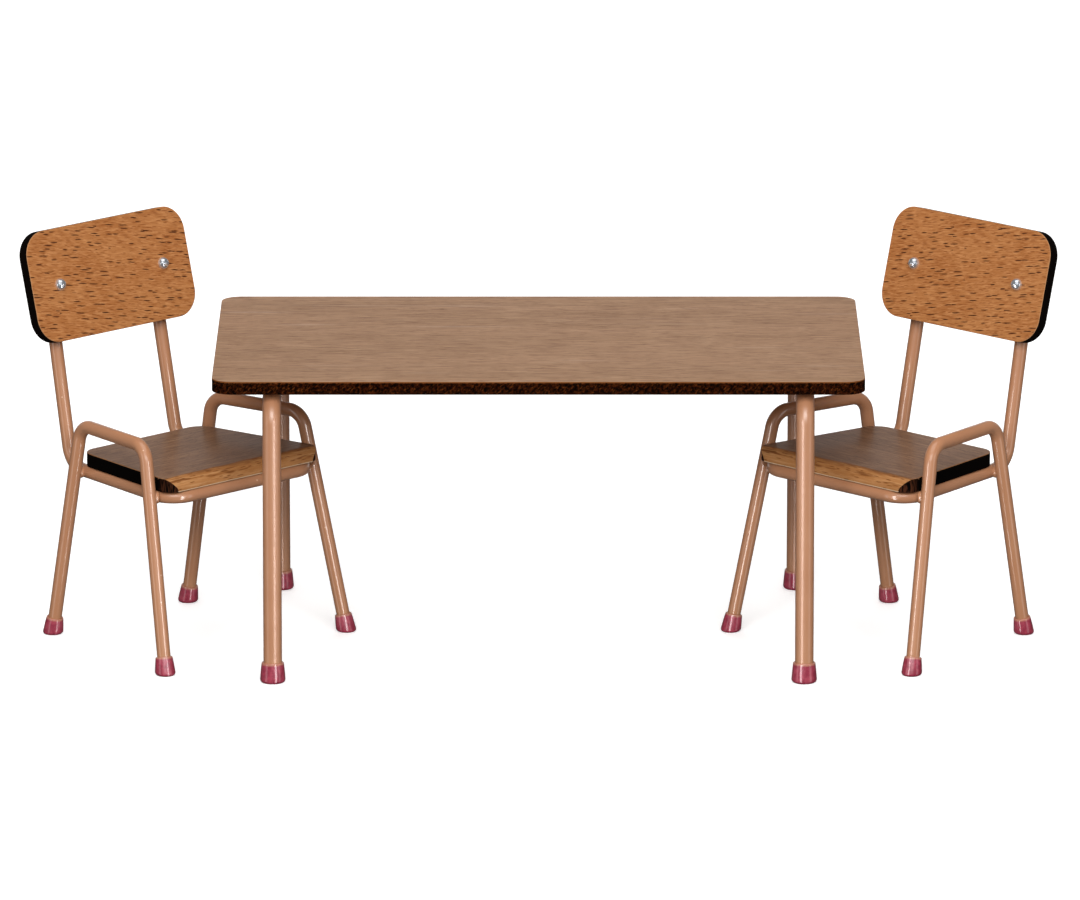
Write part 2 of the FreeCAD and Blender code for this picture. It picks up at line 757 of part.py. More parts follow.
def build_seat_board(label, pose):
    """Seat board: tapered plan with rounded corners and a rounded-over front edge."""
    body = new_body(label)
    outline = new_sketch(body, "Outline", "XY_Plane")
    seat_top = "Sizes.rail_height + Sizes.rod_diameter / 2 + Sizes.seat_thickness"
    rod = "Sizes.rod_diameter / 2"
    rear_y = side_distance(SEAT_REAR, seat_top, f"{rod} + Sizes.seat_rear_clearance")
    front_y = side_distance(SEAT_FRONT, seat_top, f"{rod} + Sizes.seat_front_clearance")
    corners = [
        (SEAT_REAR, f"-{rear_y}"),
        (SEAT_FRONT, f"-{front_y}"),
        (SEAT_FRONT, front_y),
        (SEAT_REAR, rear_y),
    ]
    rear_radius, front_radius = "Sizes.seat_rear_corner_radius", "Sizes.seat_front_corner_radius"
    rounded_outline(outline, corners, [rear_radius, front_radius, front_radius, rear_radius])
    board = body.newObject("PartDesign::Pad", "Board")
    board.Profile = outline
    bind(board, Length="Sizes.seat_thickness")
    break_edges(body, board)
    waste = new_sketch(body, "FrontWaste", "XZ_Plane")
    inner_x = f"{SEAT_FRONT} - Sizes.seat_round_over"
    outer_x = f"{SEAT_FRONT} + Sizes.seat_round_over"
    low_z = "Sizes.seat_thickness - Sizes.seat_round_over"
    high_z = "Sizes.seat_thickness + Sizes.seat_round_over"
    fixed_profile(
        waste,
        [
            (SEAT_FRONT, low_z, inner_x),
            (inner_x, "Sizes.seat_thickness"),
            (inner_x, high_z),
            (outer_x, high_z),
            (outer_x, low_z),
        ],
    )
    document.recompute()
    round_over = body.newObject("PartDesign::Pocket", "FrontRoundOver")
    round_over.Profile = waste
    round_over.Midplane = True
    round_over.Type = "ThroughAll"
    pilots = new_sketch(body, "Pilots", "XY_Plane")
    for x in ("Sizes.strap_front", "-Sizes.strap_rear"):
        screw_y = f"({rail_distance(x)} - Sizes.strap_screw_inset)"
        fixed_circle(pilots, x, screw_y, PILOT_RADIUS)
        fixed_circle(pilots, x, f"-{screw_y}", PILOT_RADIUS)
    drill_upward(body, pilots)
    body.Placement = pose.multiply(Placement(seat_underside(), Rotation()))
    return body


def seat_underside():
    return Vector(0, 0, size("rail_height") + size("rod_diameter") / 2)


def build_strap(label, x, pose):
    """Flat strap between the side rails, coped to them, and the seats of its two screws."""
    reach = rail_point(x, 1).y
    half_length = reach - size("strap_root")
    strap = document.addObject("Part::Box", f"{label}_bar")
    bind(strap, Length="Sizes.strap_width", Height="Sizes.plate_thickness")
    strap.Width = half_length * 2
    top = seat_underside().z
    low_z = top - size("plate_thickness")
    strap.Placement.Base = Vector(x - size("strap_width") / 2, -half_length, low_z)
    tools, screw_seats = [], []
    rail_radius = "Sizes.rod_diameter / 2 + Sizes.plate_clearance"
    for side in (-1, 1):
        ends = [rail_point(x + way * size("strap_width"), side) for way in (-1, 1)]
        tools.append(cylinder_between(f"{label}_rail_room_{len(tools)}", *ends, rail_radius))
        hole_y = side * (reach - size("strap_screw_inset"))
        tools.append(plate_hole(f"{label}_hole_{len(tools)}", Vector(x, hole_y, top)))
        screw_seats.append(Vector(x, hole_y, low_z))
    coped = cut(label, strap, tools)
    coped.Placement = pose
    return coped, screw_seats


def build_weld_beads(label, pose):
    """Beads that fill round the points where the side rails cross the legs."""
    beads = []
    foot_rear, arm_rear, arm_front, foot_front = side_frame_points()
    inset = value_of(RAIL_INSET)
    side_lean = math.radians(size("side_lean_angle"))
    rail_rise = (size("rail_height") + inset * math.sin(side_lean)) / math.cos(side_lean)
    run = size("weld_radius") * 2
    # The ball's poles lie inside the two rods, and its seam runs between them.
    pole_turn = Rotation(X_AXIS, 90).multiply(Rotation(Z_AXIS, 45))
    for side in (-1, 1):
        plane = side_pose(side)
        for foot, arm in ((foot_rear, arm_rear), (foot_front, arm_front)):
            name = f"{label}_{len(beads)}"
            crossing = foot + (arm - foot) * (rail_rise / arm.z)
            along_leg = (arm - foot).normalize() * run
            inward = Vector(0, -side * inset, 0)
            bead = document.addObject("Part::Sphere", f"{name}_ball")
            bind(bead, Radius="Sizes.weld_radius")
            middle = Placement(crossing + inward * 0.5, pole_turn)
            bead.Placement = plane.multiply(middle)
            leg_ends = [plane.multVec(crossing + along_leg * way) for way in (-1, 1)]
            rail_middle = crossing + inward
            rail_ends = [plane.multVec(rail_middle + X_AXIS * (run * way)) for way in (-1, 1)]
            radius = "Sizes.rod_diameter / 2 + Sizes.plate_clearance"
            leg_room = cylinder_between(f"{name}_leg_room", *leg_ends, radius)
            rail_room = cylinder_between(f"{name}_rail_room", *rail_ends, radius)
            beads.append(cut(name, bead, [leg_room, rail_room]))
    beads = group(label, beads)
    beads.Placement = pose
    return beads


def backrest_pose(y):
    """Pose of the backrest's back face, at a distance from the centre line."""
    up, outward = backrest_axes()
    middle = upright_point(size("backrest_rise"), 1)
    base = Vector(middle.x, y, middle.z) + outward * (size("rod_diameter") / 2)
    return Placement(base, Rotation(Y_AXIS, up, outward, "XYZ"))


def build_backrest_board(label, pose):
    body = new_body(label)
    outline = new_sketch(body, "Outline", "XY_Plane")
    x, y = "Sizes.backrest_width / 2", "Sizes.backrest_height / 2"
    corners = [(f"-{x}", f"-{y}"), (x, f"-{y}"), (x, y), (f"-{x}", y)]
    rounded_outline(outline, corners, ["Sizes.backrest_corner_radius"] * 4)
    board = body.newObject("PartDesign::Pad", "Board")
    board.Profile = outline
    bind(board, Length="Sizes.backrest_thickness")
    break_edges(body, board)
    holes = new_sketch(body, "RivetHoles", "XY_Plane")
    above_kink = "(Sizes.backrest_rise - Sizes.kink_rise)"
    setback = f"Sizes.kink_rise * sin{LOWER_LEAN} + {above_kink} * sin{UPPER_LEAN}"
    rivet_y = f"({rail_distance(f'-{RAIL_REAR}')} - sin{UPRIGHT_TURN} * ({setback}))"
    fixed_circle(holes, rivet_y, "0", RIVET_RADIUS)
    fixed_circle(holes, f"-{rivet_y}", "0", RIVET_RADIUS)
    document.recompute()
    drilled = body.newObject("PartDesign::Pocket", "Drilled")
    drilled.Profile = holes
    drilled.Midplane = True
    drilled.Type = "ThroughAll"
    body.Placement = pose.multiply(backrest_pose(0))
    return body


def build_rivet(label, side, pose):
    """Domed rivet through the backrest and its upright, closed over behind."""
    shank = "Sizes.rivet_shank_diameter / 2"
    grip = "(Sizes.backrest_thickness + Sizes.rod_diameter)"
    rivet = turned_body(
        label,
        [
            ("Sizes.rivet_tail_diameter / 2", f"-{grip}"),
            (shank, f"-{grip}"),
            (shank, "0"),
            ("Sizes.rivet_head_diameter / 2", "0", "0"),
            ("0", "Sizes.rivet_head_height"),
            ("0", f"-{grip} - Sizes.rivet_tail_height", "0"),
        ],
    )
    head_seat = backrest_pose(side * abs(upright_point(size("backrest_rise"), 1).y))
    front = Placement(Vector(0, 0, size("backrest_thickness")), Rotation())
    rivet.Placement = pose.multiply(head_seat).multiply(front)
    return rivet


def build_chair(name, pose):
    parts = [
        build_seat_frame(f"{name}_seat_frame", pose),
        build_seat_board(f"{name}_seat_board", pose),
        build_backrest_board(f"{name}_backrest_board", pose),
        build_weld_beads(f"{name}_weld_beads", pose),
    ]
    screws = []
    for place, x in (("front", size("strap_front")), ("rear", -size("strap_rear"))):
        strap, screw_seats = build_strap(f"{name}_strap_{place}", x, pose)
        parts.append(strap)
        for seat in screw_seats:
            screws.append(screw(f"{name}_screw_{len(screws)}", seat))
    seat_screws = group(f"{name}_seat_screws", screws)
    seat_screws.Placement = pose
    parts.append(seat_screws)
    foot_rear, arm_rear, arm_front, foot_front = side_frame_points()
    for hand, side in (("right", -1), ("left", 1)):
        parts.append(build_side_frame(f"{name}_side_frame_{hand}", side, pose))
        parts.append(build_rivet(f"{name}_rivet_{hand}", side, pose))
        plane = side_pose(side)
        for end, foot, arm in (("rear", foot_rear, arm_rear), ("front", foot_front, arm_front)):
            label = f"{name}_foot_cap_{end}_{hand}"
            uphill = plane.multVec(arm) - plane.multVec(foot)
            foot_point = plane.multVec(foot)
            direction = uphill.normalize()
            parts.append(foot_cap(label, "chair", "rod_diameter", foot_point, direction, pose))
    return parts


def chair_pose(side):
    """Both chairs face the table's long side and are turned towards each other."""
    turn = size("chair_turn")
    heading = -turn if side < 0 else turn - 180
    offset = size("table_length") / 2 + size("chair_end_gap")
    place = Vector(side * offset, -size("chair_setback"), 0)
    return Placement(place, Rotation(Z_AXIS, heading))


# ---------------------------------------------------------------- build, check and write

subparts = build_table()
subparts += build_chair("chair_left", chair_pose(-1))
subparts += build_chair("chair_right", chair_pose(1))
document.recompute()

for item in document.Objects:
    if "Invalid" in item.State or "Error" in item.State:
        raise RuntimeError(f"{item.Name} did not compute: {item.State}")
for part in subparts:
    if part.Shape.isNull() or not part.Shape.isValid() or not part.Shape.Solids:
        raise RuntimeError(f"{part.Label} has no valid solid")

os.makedirs("parts", exist_ok=True)
for part in subparts:
    part.Shape.exportStep(f"parts/{part.Label}.step")
    box = part.Shape.optimalBoundingBox()
    extents = f"{box.XLength:.1f} x {box.YLength:.1f} x {box.ZLength:.1f} mm"
    print(f"{part.Label}: {len(part.Shape.Solids)} solid(s), {extents}")
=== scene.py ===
# %% [markdown]
# # A play table with two armchairs
# Two low armchairs stand at the corners of a small table. Bent steel rod, painted tan, makes the
# frames. Thin plywood with burnt edges makes the tabletop, the seats and the backrests, and
# raspberry caps cover the feet. The frame below brings the engineered solids in, in metres,
# and every step after it gives them their looks.

# %% Load the frame
import math

import bmesh
import bpy
from mathutils import Euler, Matrix, Vector


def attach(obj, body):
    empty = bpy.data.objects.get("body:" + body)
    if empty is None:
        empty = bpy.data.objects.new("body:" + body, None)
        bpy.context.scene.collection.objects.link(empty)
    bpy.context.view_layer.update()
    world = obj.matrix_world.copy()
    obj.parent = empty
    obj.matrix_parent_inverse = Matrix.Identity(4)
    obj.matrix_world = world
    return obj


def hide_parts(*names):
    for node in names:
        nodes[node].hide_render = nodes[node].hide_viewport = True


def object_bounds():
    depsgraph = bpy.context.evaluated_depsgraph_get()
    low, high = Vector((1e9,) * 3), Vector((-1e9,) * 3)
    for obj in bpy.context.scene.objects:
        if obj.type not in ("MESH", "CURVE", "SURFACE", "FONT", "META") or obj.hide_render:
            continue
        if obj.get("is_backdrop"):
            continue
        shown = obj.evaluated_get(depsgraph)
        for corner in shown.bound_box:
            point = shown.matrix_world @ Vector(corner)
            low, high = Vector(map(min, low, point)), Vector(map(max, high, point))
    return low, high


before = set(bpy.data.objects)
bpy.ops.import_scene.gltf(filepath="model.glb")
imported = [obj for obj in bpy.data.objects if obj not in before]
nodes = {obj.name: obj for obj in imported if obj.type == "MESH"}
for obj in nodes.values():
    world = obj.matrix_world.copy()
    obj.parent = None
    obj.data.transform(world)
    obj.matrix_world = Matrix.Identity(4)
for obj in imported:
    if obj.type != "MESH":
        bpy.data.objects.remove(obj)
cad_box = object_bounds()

MM = 0.001

# %% [markdown]
# ## The sizes
# Every rod, cap and pattern below follows the same few sizes that the solids were drawn with.
# They could be read off the meshes, but a rule with named sizes says more about the object:
# a chair's side frame is one rod bent twice in a plane that is turned by the taper and leaned
# inward at the top, and its seat frame is another rod that starts and ends behind the backrest.

# %% Table sizes, in millimetres
TABLE_LENGTH, TABLE_DEPTH, TABLE_HEIGHT, TOP_THICKNESS = 210.0, 125.0, 99.7, 4.3
LEG_DIAMETER, LEG_BEND = 6.0, 8.0
LEG_END_INSET, LEG_SIDE_INSET, LEG_SPLAY = 19.2, 4.6, 3.7
ROD_END_HEIGHT = 1.7
print("table:", TABLE_LENGTH, "x", TABLE_DEPTH, "x", TABLE_HEIGHT, "mm")

# %% Chair sizes, in millimetres and degrees
ROD_DIAMETER, ARM_BEND = 4.4, 6.4
SIDE_STANCE, SIDE_SPACING = 66.4, 70.8
ARM_LENGTH, ARM_SETBACK, ARM_HEIGHT = 37.4, 1.1, 72.7
TAPER, SIDE_LEAN = math.radians(8.9), math.radians(2.5)
RAIL_HEIGHT, RAIL_FRONT, RAIL_REAR, WELD_GAP = 56.05, 26.97, 30.17, 0.1
RAIL_CORNER, REAR_BEND, KINK_BEND = 7.5, 8.0, 30.0
LOWER_LEAN, UPPER_LEAN = math.radians(10.8), math.radians(14.4)
UPRIGHT_TURN, KINK_RISE, UPRIGHT_LENGTH = math.radians(4.0), 55.0, 73.0
SEAT_THICKNESS, SEAT_OVERHANG, SEAT_ROUND_OVER = 4.6, 1.4, 4.0
BACKREST_RISE, BACKREST_THICKNESS = 59.4, 3.9
CHAIR_OFFSET, CHAIR_SETBACK, CHAIR_TURN = 115.0, 1.0, math.radians(45.3)
Z_AXIS = Vector((0, 0, 1))


def chair_pose(side):
    """Where a chair stands: -1 for the left one, 1 for the right one."""
    heading = -CHAIR_TURN if side < 0 else CHAIR_TURN - math.pi
    place = Matrix.Translation((side * CHAIR_OFFSET, -CHAIR_SETBACK, 0))
    return place @ Matrix.Rotation(heading, 4, "Z")


def side_pose(side):
    """The plane of one side frame, in its own chair."""
    place = Matrix.Translation((0, side * SIDE_SPACING / 2, 0))
    turn = Matrix.Rotation(side * TAPER, 4, "Z")
    return place @ turn @ Matrix.Rotation(side * SIDE_LEAN, 4, "X")


CHAIRS = {"chair_left": chair_pose(-1), "chair_right": chair_pose(1)}
print("chairs turned by", round(math.degrees(CHAIR_TURN), 1), "degrees")

# %% [markdown]
# ## Node trees as expressions
# Materials and Geometry Nodes are both trees of nodes. They could be wired socket by socket,
# which hides the sums in the wiring. Here a small class wraps an output, and its operators add
# Math nodes, so a mask reads like arithmetic. One method adds any other node.


# %% Values and graphs
class Value:
    """One output of a node, which can be used in sums."""

    def __init__(self, graph, socket):
        self.graph, self.socket = graph, socket

    def sum(self, operation, *others):
        return self.graph.math(operation, self, *others)

    def __add__(self, other): return self.sum("ADD", other)
    def __sub__(self, other): return self.sum("SUBTRACT", other)
    def __mul__(self, other): return self.sum("MULTIPLY", other)
    def __truediv__(self, other): return self.sum("DIVIDE", other)
    def __radd__(self, other): return self.sum("ADD", other)
    def __rmul__(self, other): return self.sum("MULTIPLY", other)
    def __rsub__(self, other): return self.graph.math("SUBTRACT", other, self)


class Graph:
    """A node tree with one method for nodes and a few short ways to common ones."""

    def __init__(self, tree):
        self.tree = tree

    def node(self, kind, settings=None, sockets=None, out=0):
        """Add a node: its settings first, then the values or links of its sockets."""
        made = self.tree.nodes.new(kind)
        for name, setting in (settings or {}).items():
            if name == "stops":
                self.set_stops(made.color_ramp, setting)
            else:
                setattr(made, name, setting)
        for name, value in (sockets or {}).items():
            self.feed(self.find(made.inputs, name), value)
        return Value(self, self.find(made.outputs, out))

    def find(self, sockets, name):
        if isinstance(name, int):
            return sockets[name]
        return next((s for s in sockets if s.identifier == name), None) or sockets[name]

    def feed(self, socket, value):
        if isinstance(value, Value):
            self.tree.links.new(value.socket, socket)
        else:
            socket.default_value = value

    def set_stops(self, ramp, stops):
        while len(ramp.elements) < len(stops):
            ramp.elements.new(1)
        for element, (position, colour) in zip(ramp.elements, stops):
            element.position, element.color = position, colour

    def math(self, operation, *values):
        sockets = dict(enumerate(values))
        return self.node("ShaderNodeMath", {"operation": operation}, sockets)

    def rise(self, value, low, high):
        """0 below low, 1 above high, and a smooth rise between them."""
        sockets = {"Value": value, "From Min": low, "From Max": high}
        return self.node("ShaderNodeMapRange", {"interpolation_type": "SMOOTHSTEP"}, sockets)

    def split(self, vector):
        made = self.node("ShaderNodeSeparateXYZ", None, {0: vector})
        return [Value(self, out) for out in made.socket.node.outputs]

    def join(self, x, y, z):
        return self.node("ShaderNodeCombineXYZ", None, {0: x, 1: y, 2: z})

    def mix(self, factor, first, second):
        """Colours mixed: first where the factor is 0, second where it is 1."""
        sockets = {"Factor_Float": factor, "A_Color": first, "B_Color": second}
        return self.node("ShaderNodeMix", {"data_type": "RGBA"}, sockets, "Result_Color")

    def noise(self, vector, scale, detail=2.0, roughness=0.5, kind="3D"):
        sockets = {"Vector": vector, "Scale": scale, "Detail": detail, "Roughness": roughness}
        return self.node("ShaderNodeTexNoise", {"noise_dimensions": kind}, sockets)


print("graph helpers ready")

# %% [markdown]
# ## Colours and finishes
# A finish is a Principled shader. Its steady values go straight on the shader, and only what
# changes over the surface is linked. Colours are written as 0 to 255 as a paint chart would
# give them, and turned to the linear values that the renderer works in.


# %% Colours and an empty finish
def paint(red, green, blue):
    """A colour given as 0 to 255, as a linear colour with full alpha."""
    linear = []
    for level in (red, green, blue):
        level /= 255
        linear.append(level / 12.92 if level <= 0.04045 else ((level + 0.055) / 1.055) ** 2.4)
    return (*linear, 1.0)


def new_finish(name, **steady):
    """A material, its graph and its shader, with the shader's steady values set."""
    material = bpy.data.materials.new(name)
    material.use_nodes = True
    shader = material.node_tree.nodes["Principled BSDF"]
    for socket, value in steady.items():
        shader.inputs[socket.replace("_", " ")].default_value = value
    return material, Graph(material.node_tree), shader


def own_coordinates(graph, place, turn):
    """Position measured in a piece's own frame, whose origin and turn are given."""
    object_place = graph.node("ShaderNodeTexCoord", None, None, "Object")
    sockets = {"Vector": object_place, "Location": place, "Rotation": turn}
    return graph.node("ShaderNodeMapping", {"vector_type": "TEXTURE"}, sockets)


def bumps(graph, shader, height, depth):
    """Raise the surface by a height pattern, at most a depth in metres."""
    bump = graph.node("ShaderNodeBump", None, {"Height": height, "Distance": depth})
    graph.feed(shader.inputs["Normal"], bump)


print("tan paint in linear light:", [round(c, 3) for c in paint(186, 134, 104)])

# %% [markdown]
# ## Tan paint
# The rods are enamelled: an even tan under a clear gloss, with a slight orange peel and a few
# specks of dust that dried into it. A plain shader would give the gloss but look like plastic.
# A sharp coat over a softer base gives the narrow bright lines that gloss paint shows on a
# round rod, and a coarse Voronoi pattern, cut down to its cell centres, gives the specks.
# The thicker legs of the table carry a softer gloss than the chairs.

# %% Enamel
PAINT_RIPPLE = 0.01 * MM
SPECK_CELLS, SPECK_EDGE, SPECK_CHANCE = 260.0, (0.05, 0.09), (0.93, 0.96)
CHAIR_COAT_ROUGHNESS, LEG_COAT_ROUGHNESS = 0.09, 0.34


def enamel(name, coat_roughness):
    """Tan gloss paint: the rougher its clear coat, the broader and softer its shine."""
    material, graph, shader = new_finish(
        name, Roughness=0.34, Coat_Roughness=coat_roughness, Coat_IOR=1.55,
        Specular_IOR_Level=0.4
    )
    place = graph.node("ShaderNodeTexCoord", None, None, "Object")
    cloud = graph.noise(place, 90, 3)
    even = graph.mix(cloud, paint(176, 121, 86), paint(187, 134, 99))
    cells = {"Vector": place, "Scale": SPECK_CELLS, "Randomness": 1.0}
    distance = graph.node("ShaderNodeTexVoronoi", None, cells, "Distance")
    pick = graph.node("ShaderNodeTexWhiteNoise", {"noise_dimensions": "3D"}, {
        "Vector": graph.node("ShaderNodeTexVoronoi", None, cells, "Position")})
    specks = (1 - graph.rise(distance, *SPECK_EDGE)) * graph.rise(pick, *SPECK_CHANCE)
    graph.feed(shader.inputs["Base Color"], graph.mix(specks, even, paint(226, 190, 160)))
    graph.feed(shader.inputs["Coat Weight"], 0.75 + 0.25 * cloud)
    bumps(graph, shader, graph.noise(place, 900, 2) + 2 * specks, PAINT_RIPPLE)
    return material


frame_paint = enamel("Frame paint", CHAIR_COAT_ROUGHNESS)
leg_paint = enamel("Leg paint", LEG_COAT_ROUGHNESS)
print("enamel:", len(frame_paint.node_tree.nodes), "nodes")

# %% [markdown]
# ## Wood grain
# All three boards are rotary-cut plywood with an oiled face. Scanned wood could be used,
# but a procedural grain has no edges or repeats. Each layer is noise whose coordinates are
# squeezed along the grain, so it draws out into streaks, and flecks are Voronoi cells drawn
# out the same way, with an ellipse kept round each cell's centre. How high a point lies in a
# board tells its faces from its edge.


# %% Streaks, flecks and faces
GRAIN_DEPTH = 0.05 * MM
FLECK_WANDER, FLECK_EDGE = 0.3 * MM, (0.55, 1.15)
FLECK_SHORTEST, FLECK_SPREAD = 0.55, 0.6


def streaks(graph, place, along, across, detail=3.0, roughness=0.55):
    """Noise drawn out along the grain: how many features a metre holds each way."""
    x, y, z = graph.split(place)
    return graph.noise(graph.join(x * along, y * across, z * across), 1.0, detail, roughness)


def flecks(graph, place, spacing, reach, share):
    """Short dark dashes along the grain, one in some of the cells of a random pattern.

    spacing is a cell's length and width and reach a dash's half length and half width, in
    millimetres, and share is the part of the cells that have a dash.
    """
    x, y, _ = graph.split(place)
    wander = graph.noise(graph.join(x * 500, y * 900, 0), 1.0, 2) - 0.5
    length, width = (size * MM for size in spacing)
    cell = graph.join(x / length, (y + wander * FLECK_WANDER) / width, 0)
    sockets = {"Vector": cell, "Scale": 1.0, "Randomness": 1.0}
    settings = {"voronoi_dimensions": "2D"}
    centre = graph.node("ShaderNodeTexVoronoi", settings, sockets, "Position")
    centre_x, centre_y, _ = graph.split(centre)
    cell_x, cell_y, _ = graph.split(cell)
    dice = graph.node("ShaderNodeTexWhiteNoise", {"noise_dimensions": "2D"}, {"Vector": centre})
    stretch = FLECK_SHORTEST + FLECK_SPREAD * graph.math("FRACT", dice * 17)
    run = (cell_x - centre_x) * (spacing[0] / reach[0]) / stretch
    rise = (cell_y - centre_y) * (spacing[1] / reach[1])
    distance = graph.math("SQRT", run * run + rise * rise)
    shown = graph.rise(dice, 1 - share, 1 - share + 0.02)
    return (1 - graph.rise(distance, *FLECK_EDGE)) * shown


def past(graph, length, limits):
    """0 before the first of two limits and 1 after the second, in millimetres."""
    return graph.rise(length, limits[0] * MM, limits[1] * MM)


def top_skin(graph, height, thickness, fade):
    """1 at the top of a thickness and 0 lower down, over a fade measured down from it."""
    return past(graph, height, (thickness - fade[1], thickness - fade[0]))


def bottom_skin(graph, height, fade):
    """1 at the bottom and 0 higher up, over a fade measured up from it."""
    return 1 - past(graph, height, fade)


print("grain helpers ready")

# %% [markdown]
# ## Tabletop
# The top is a calm greyish brown with hair-fine straight grain along its length and a few pale
# streaks. Its edge was cut by heat and is nearly black, with brown fibres showing through and
# a thin scorched line under the face. The height in the board's own frame tells face from edge.

# %% Tabletop wood
TOP_FACE_FADE, SCORCH_FADE, SCORCH_WANDER = (0.03, 0.10), (0.30, 0.55), 0.9 * MM
tabletop_wood, graph, shader = new_finish(
    "Tabletop wood", Specular_IOR_Level=0.02, Coat_Roughness=0.36
)
place = own_coordinates(graph, (0, 0, (TABLE_HEIGHT - TOP_THICKNESS) * MM), (0, 0, 0))
x, y, height = graph.split(place)
broad = streaks(graph, place, 9, 110, 2)
fine = streaks(graph, place, 60, 900, 4, 0.72)
hair = streaks(graph, place, 150, 1500, 4, 0.7)
wood = graph.mix(graph.rise(broad, 0.3, 0.7), paint(144, 106, 74), paint(158, 119, 87))
wood = graph.mix(graph.rise(fine, 0.40, 0.70) * 0.80, wood, paint(182, 146, 114))
wood = graph.mix(graph.rise(hair, 0.46, 0.70) * 0.85, wood, paint(108, 70, 42))
pale = streaks(graph, place, 16, 420, 1)
wood = graph.mix(graph.rise(pale, 0.66, 0.80) * 0.45, wood, paint(196, 170, 152))
rust = flecks(graph, place, (5.5, 2.4), (1.4, 0.32), 0.5)
wood = graph.mix(rust * 0.45, wood, paint(112, 70, 38))
fibre = graph.noise(place, 800, 4, 0.75)
slanted = graph.join((x + height) * 420, (y + height) * 420, (height - x) * 1500)
slant = graph.noise(slanted, 1.0, 4, 0.7)
char = graph.mix(graph.rise(fibre, 0.44, 0.66), paint(5, 1, 0), paint(58, 22, 5))
char = graph.mix(graph.rise(slant, 0.52, 0.70) * 0.8, char, paint(98, 50, 18))
uneven = height + (fibre - 0.5) * SCORCH_WANDER
scorch = top_skin(graph, uneven, TOP_THICKNESS, SCORCH_FADE)
char = graph.mix(scorch * 0.85, char, paint(118, 68, 33))
face = top_skin(graph, height, TOP_THICKNESS, TOP_FACE_FADE)
face = face + bottom_skin(graph, height, TOP_FACE_FADE)
graph.feed(shader.inputs["Base Color"], graph.mix(face, char, wood))
graph.feed(shader.inputs["Roughness"], 0.95 - 0.45 * face + 0.10 * fine)
graph.feed(shader.inputs["Coat Weight"], face * (0.50 - 0.3 * fine))
bumps(graph, shader, fine * 0.6 + hair * 0.4 + (1 - face) * fibre * 2, GRAIN_DEPTH)
print("tabletop wood:", len(tabletop_wood.node_tree.nodes), "nodes")

# %% [markdown]
# ## Backrests
# The backrests are beech: warm orange-brown with many short dark flecks, which are the wood's
# rays cut through, lying along the board. Each board leans back and each chair is turned, so
# the pattern is set out in the board's own frame: its middle, its width, its height.


# %% The backrest's own frame
def rail_point(x, side):
    """Point on a side rail's axis, which runs just inside the legs."""
    spread = math.tan(TAPER) * x - math.tan(SIDE_LEAN) / math.cos(TAPER) * RAIL_HEIGHT
    inset = (ROD_DIAMETER + WELD_GAP) / (math.cos(TAPER) * math.cos(SIDE_LEAN))
    return Vector((x, side * (SIDE_SPACING / 2 + spread - inset), RAIL_HEIGHT))


def upright_point(rise, side):
    """Point on an upright's axis, a distance along it from the bend at the rail's rear."""
    back = Vector((-math.cos(UPRIGHT_TURN), -side * math.sin(UPRIGHT_TURN), 0))
    below, above = (back * math.sin(a) + Z_AXIS * math.cos(a) for a in (LOWER_LEAN, UPPER_LEAN))
    return rail_point(-RAIL_REAR, side) + below * KINK_RISE + above * (rise - KINK_RISE)


def backrest_frame():
    """The middle of the backrest's rear face, its width, up and outward directions."""
    above = upright_point(UPRIGHT_LENGTH, 1) - upright_point(KINK_RISE, 1)
    up = Vector((above.x, 0, above.z)).normalized()
    across = Vector((0, 1, 0))
    outward = across.cross(up)
    middle = upright_point(BACKREST_RISE, 1)
    base = Vector((middle.x, 0, middle.z)) + outward * (ROD_DIAMETER / 2)
    turned = Matrix((across, up, outward)).transposed().to_4x4()
    return Matrix.Translation(base) @ turned


def mapping_of(pose):
    """A pose in millimetres as the place and turn that a Mapping node takes."""
    return pose.to_translation() * MM, pose.to_euler("XYZ")


print("backrest leans", round(math.degrees(UPPER_LEAN), 1), "degrees")

# %% Backrest wood
BACKREST_GRAIN = math.radians(10)
BACKREST_FACE_FADE, BACKREST_RIM_FADE = (0.02, 0.06), (0.18, 0.26)


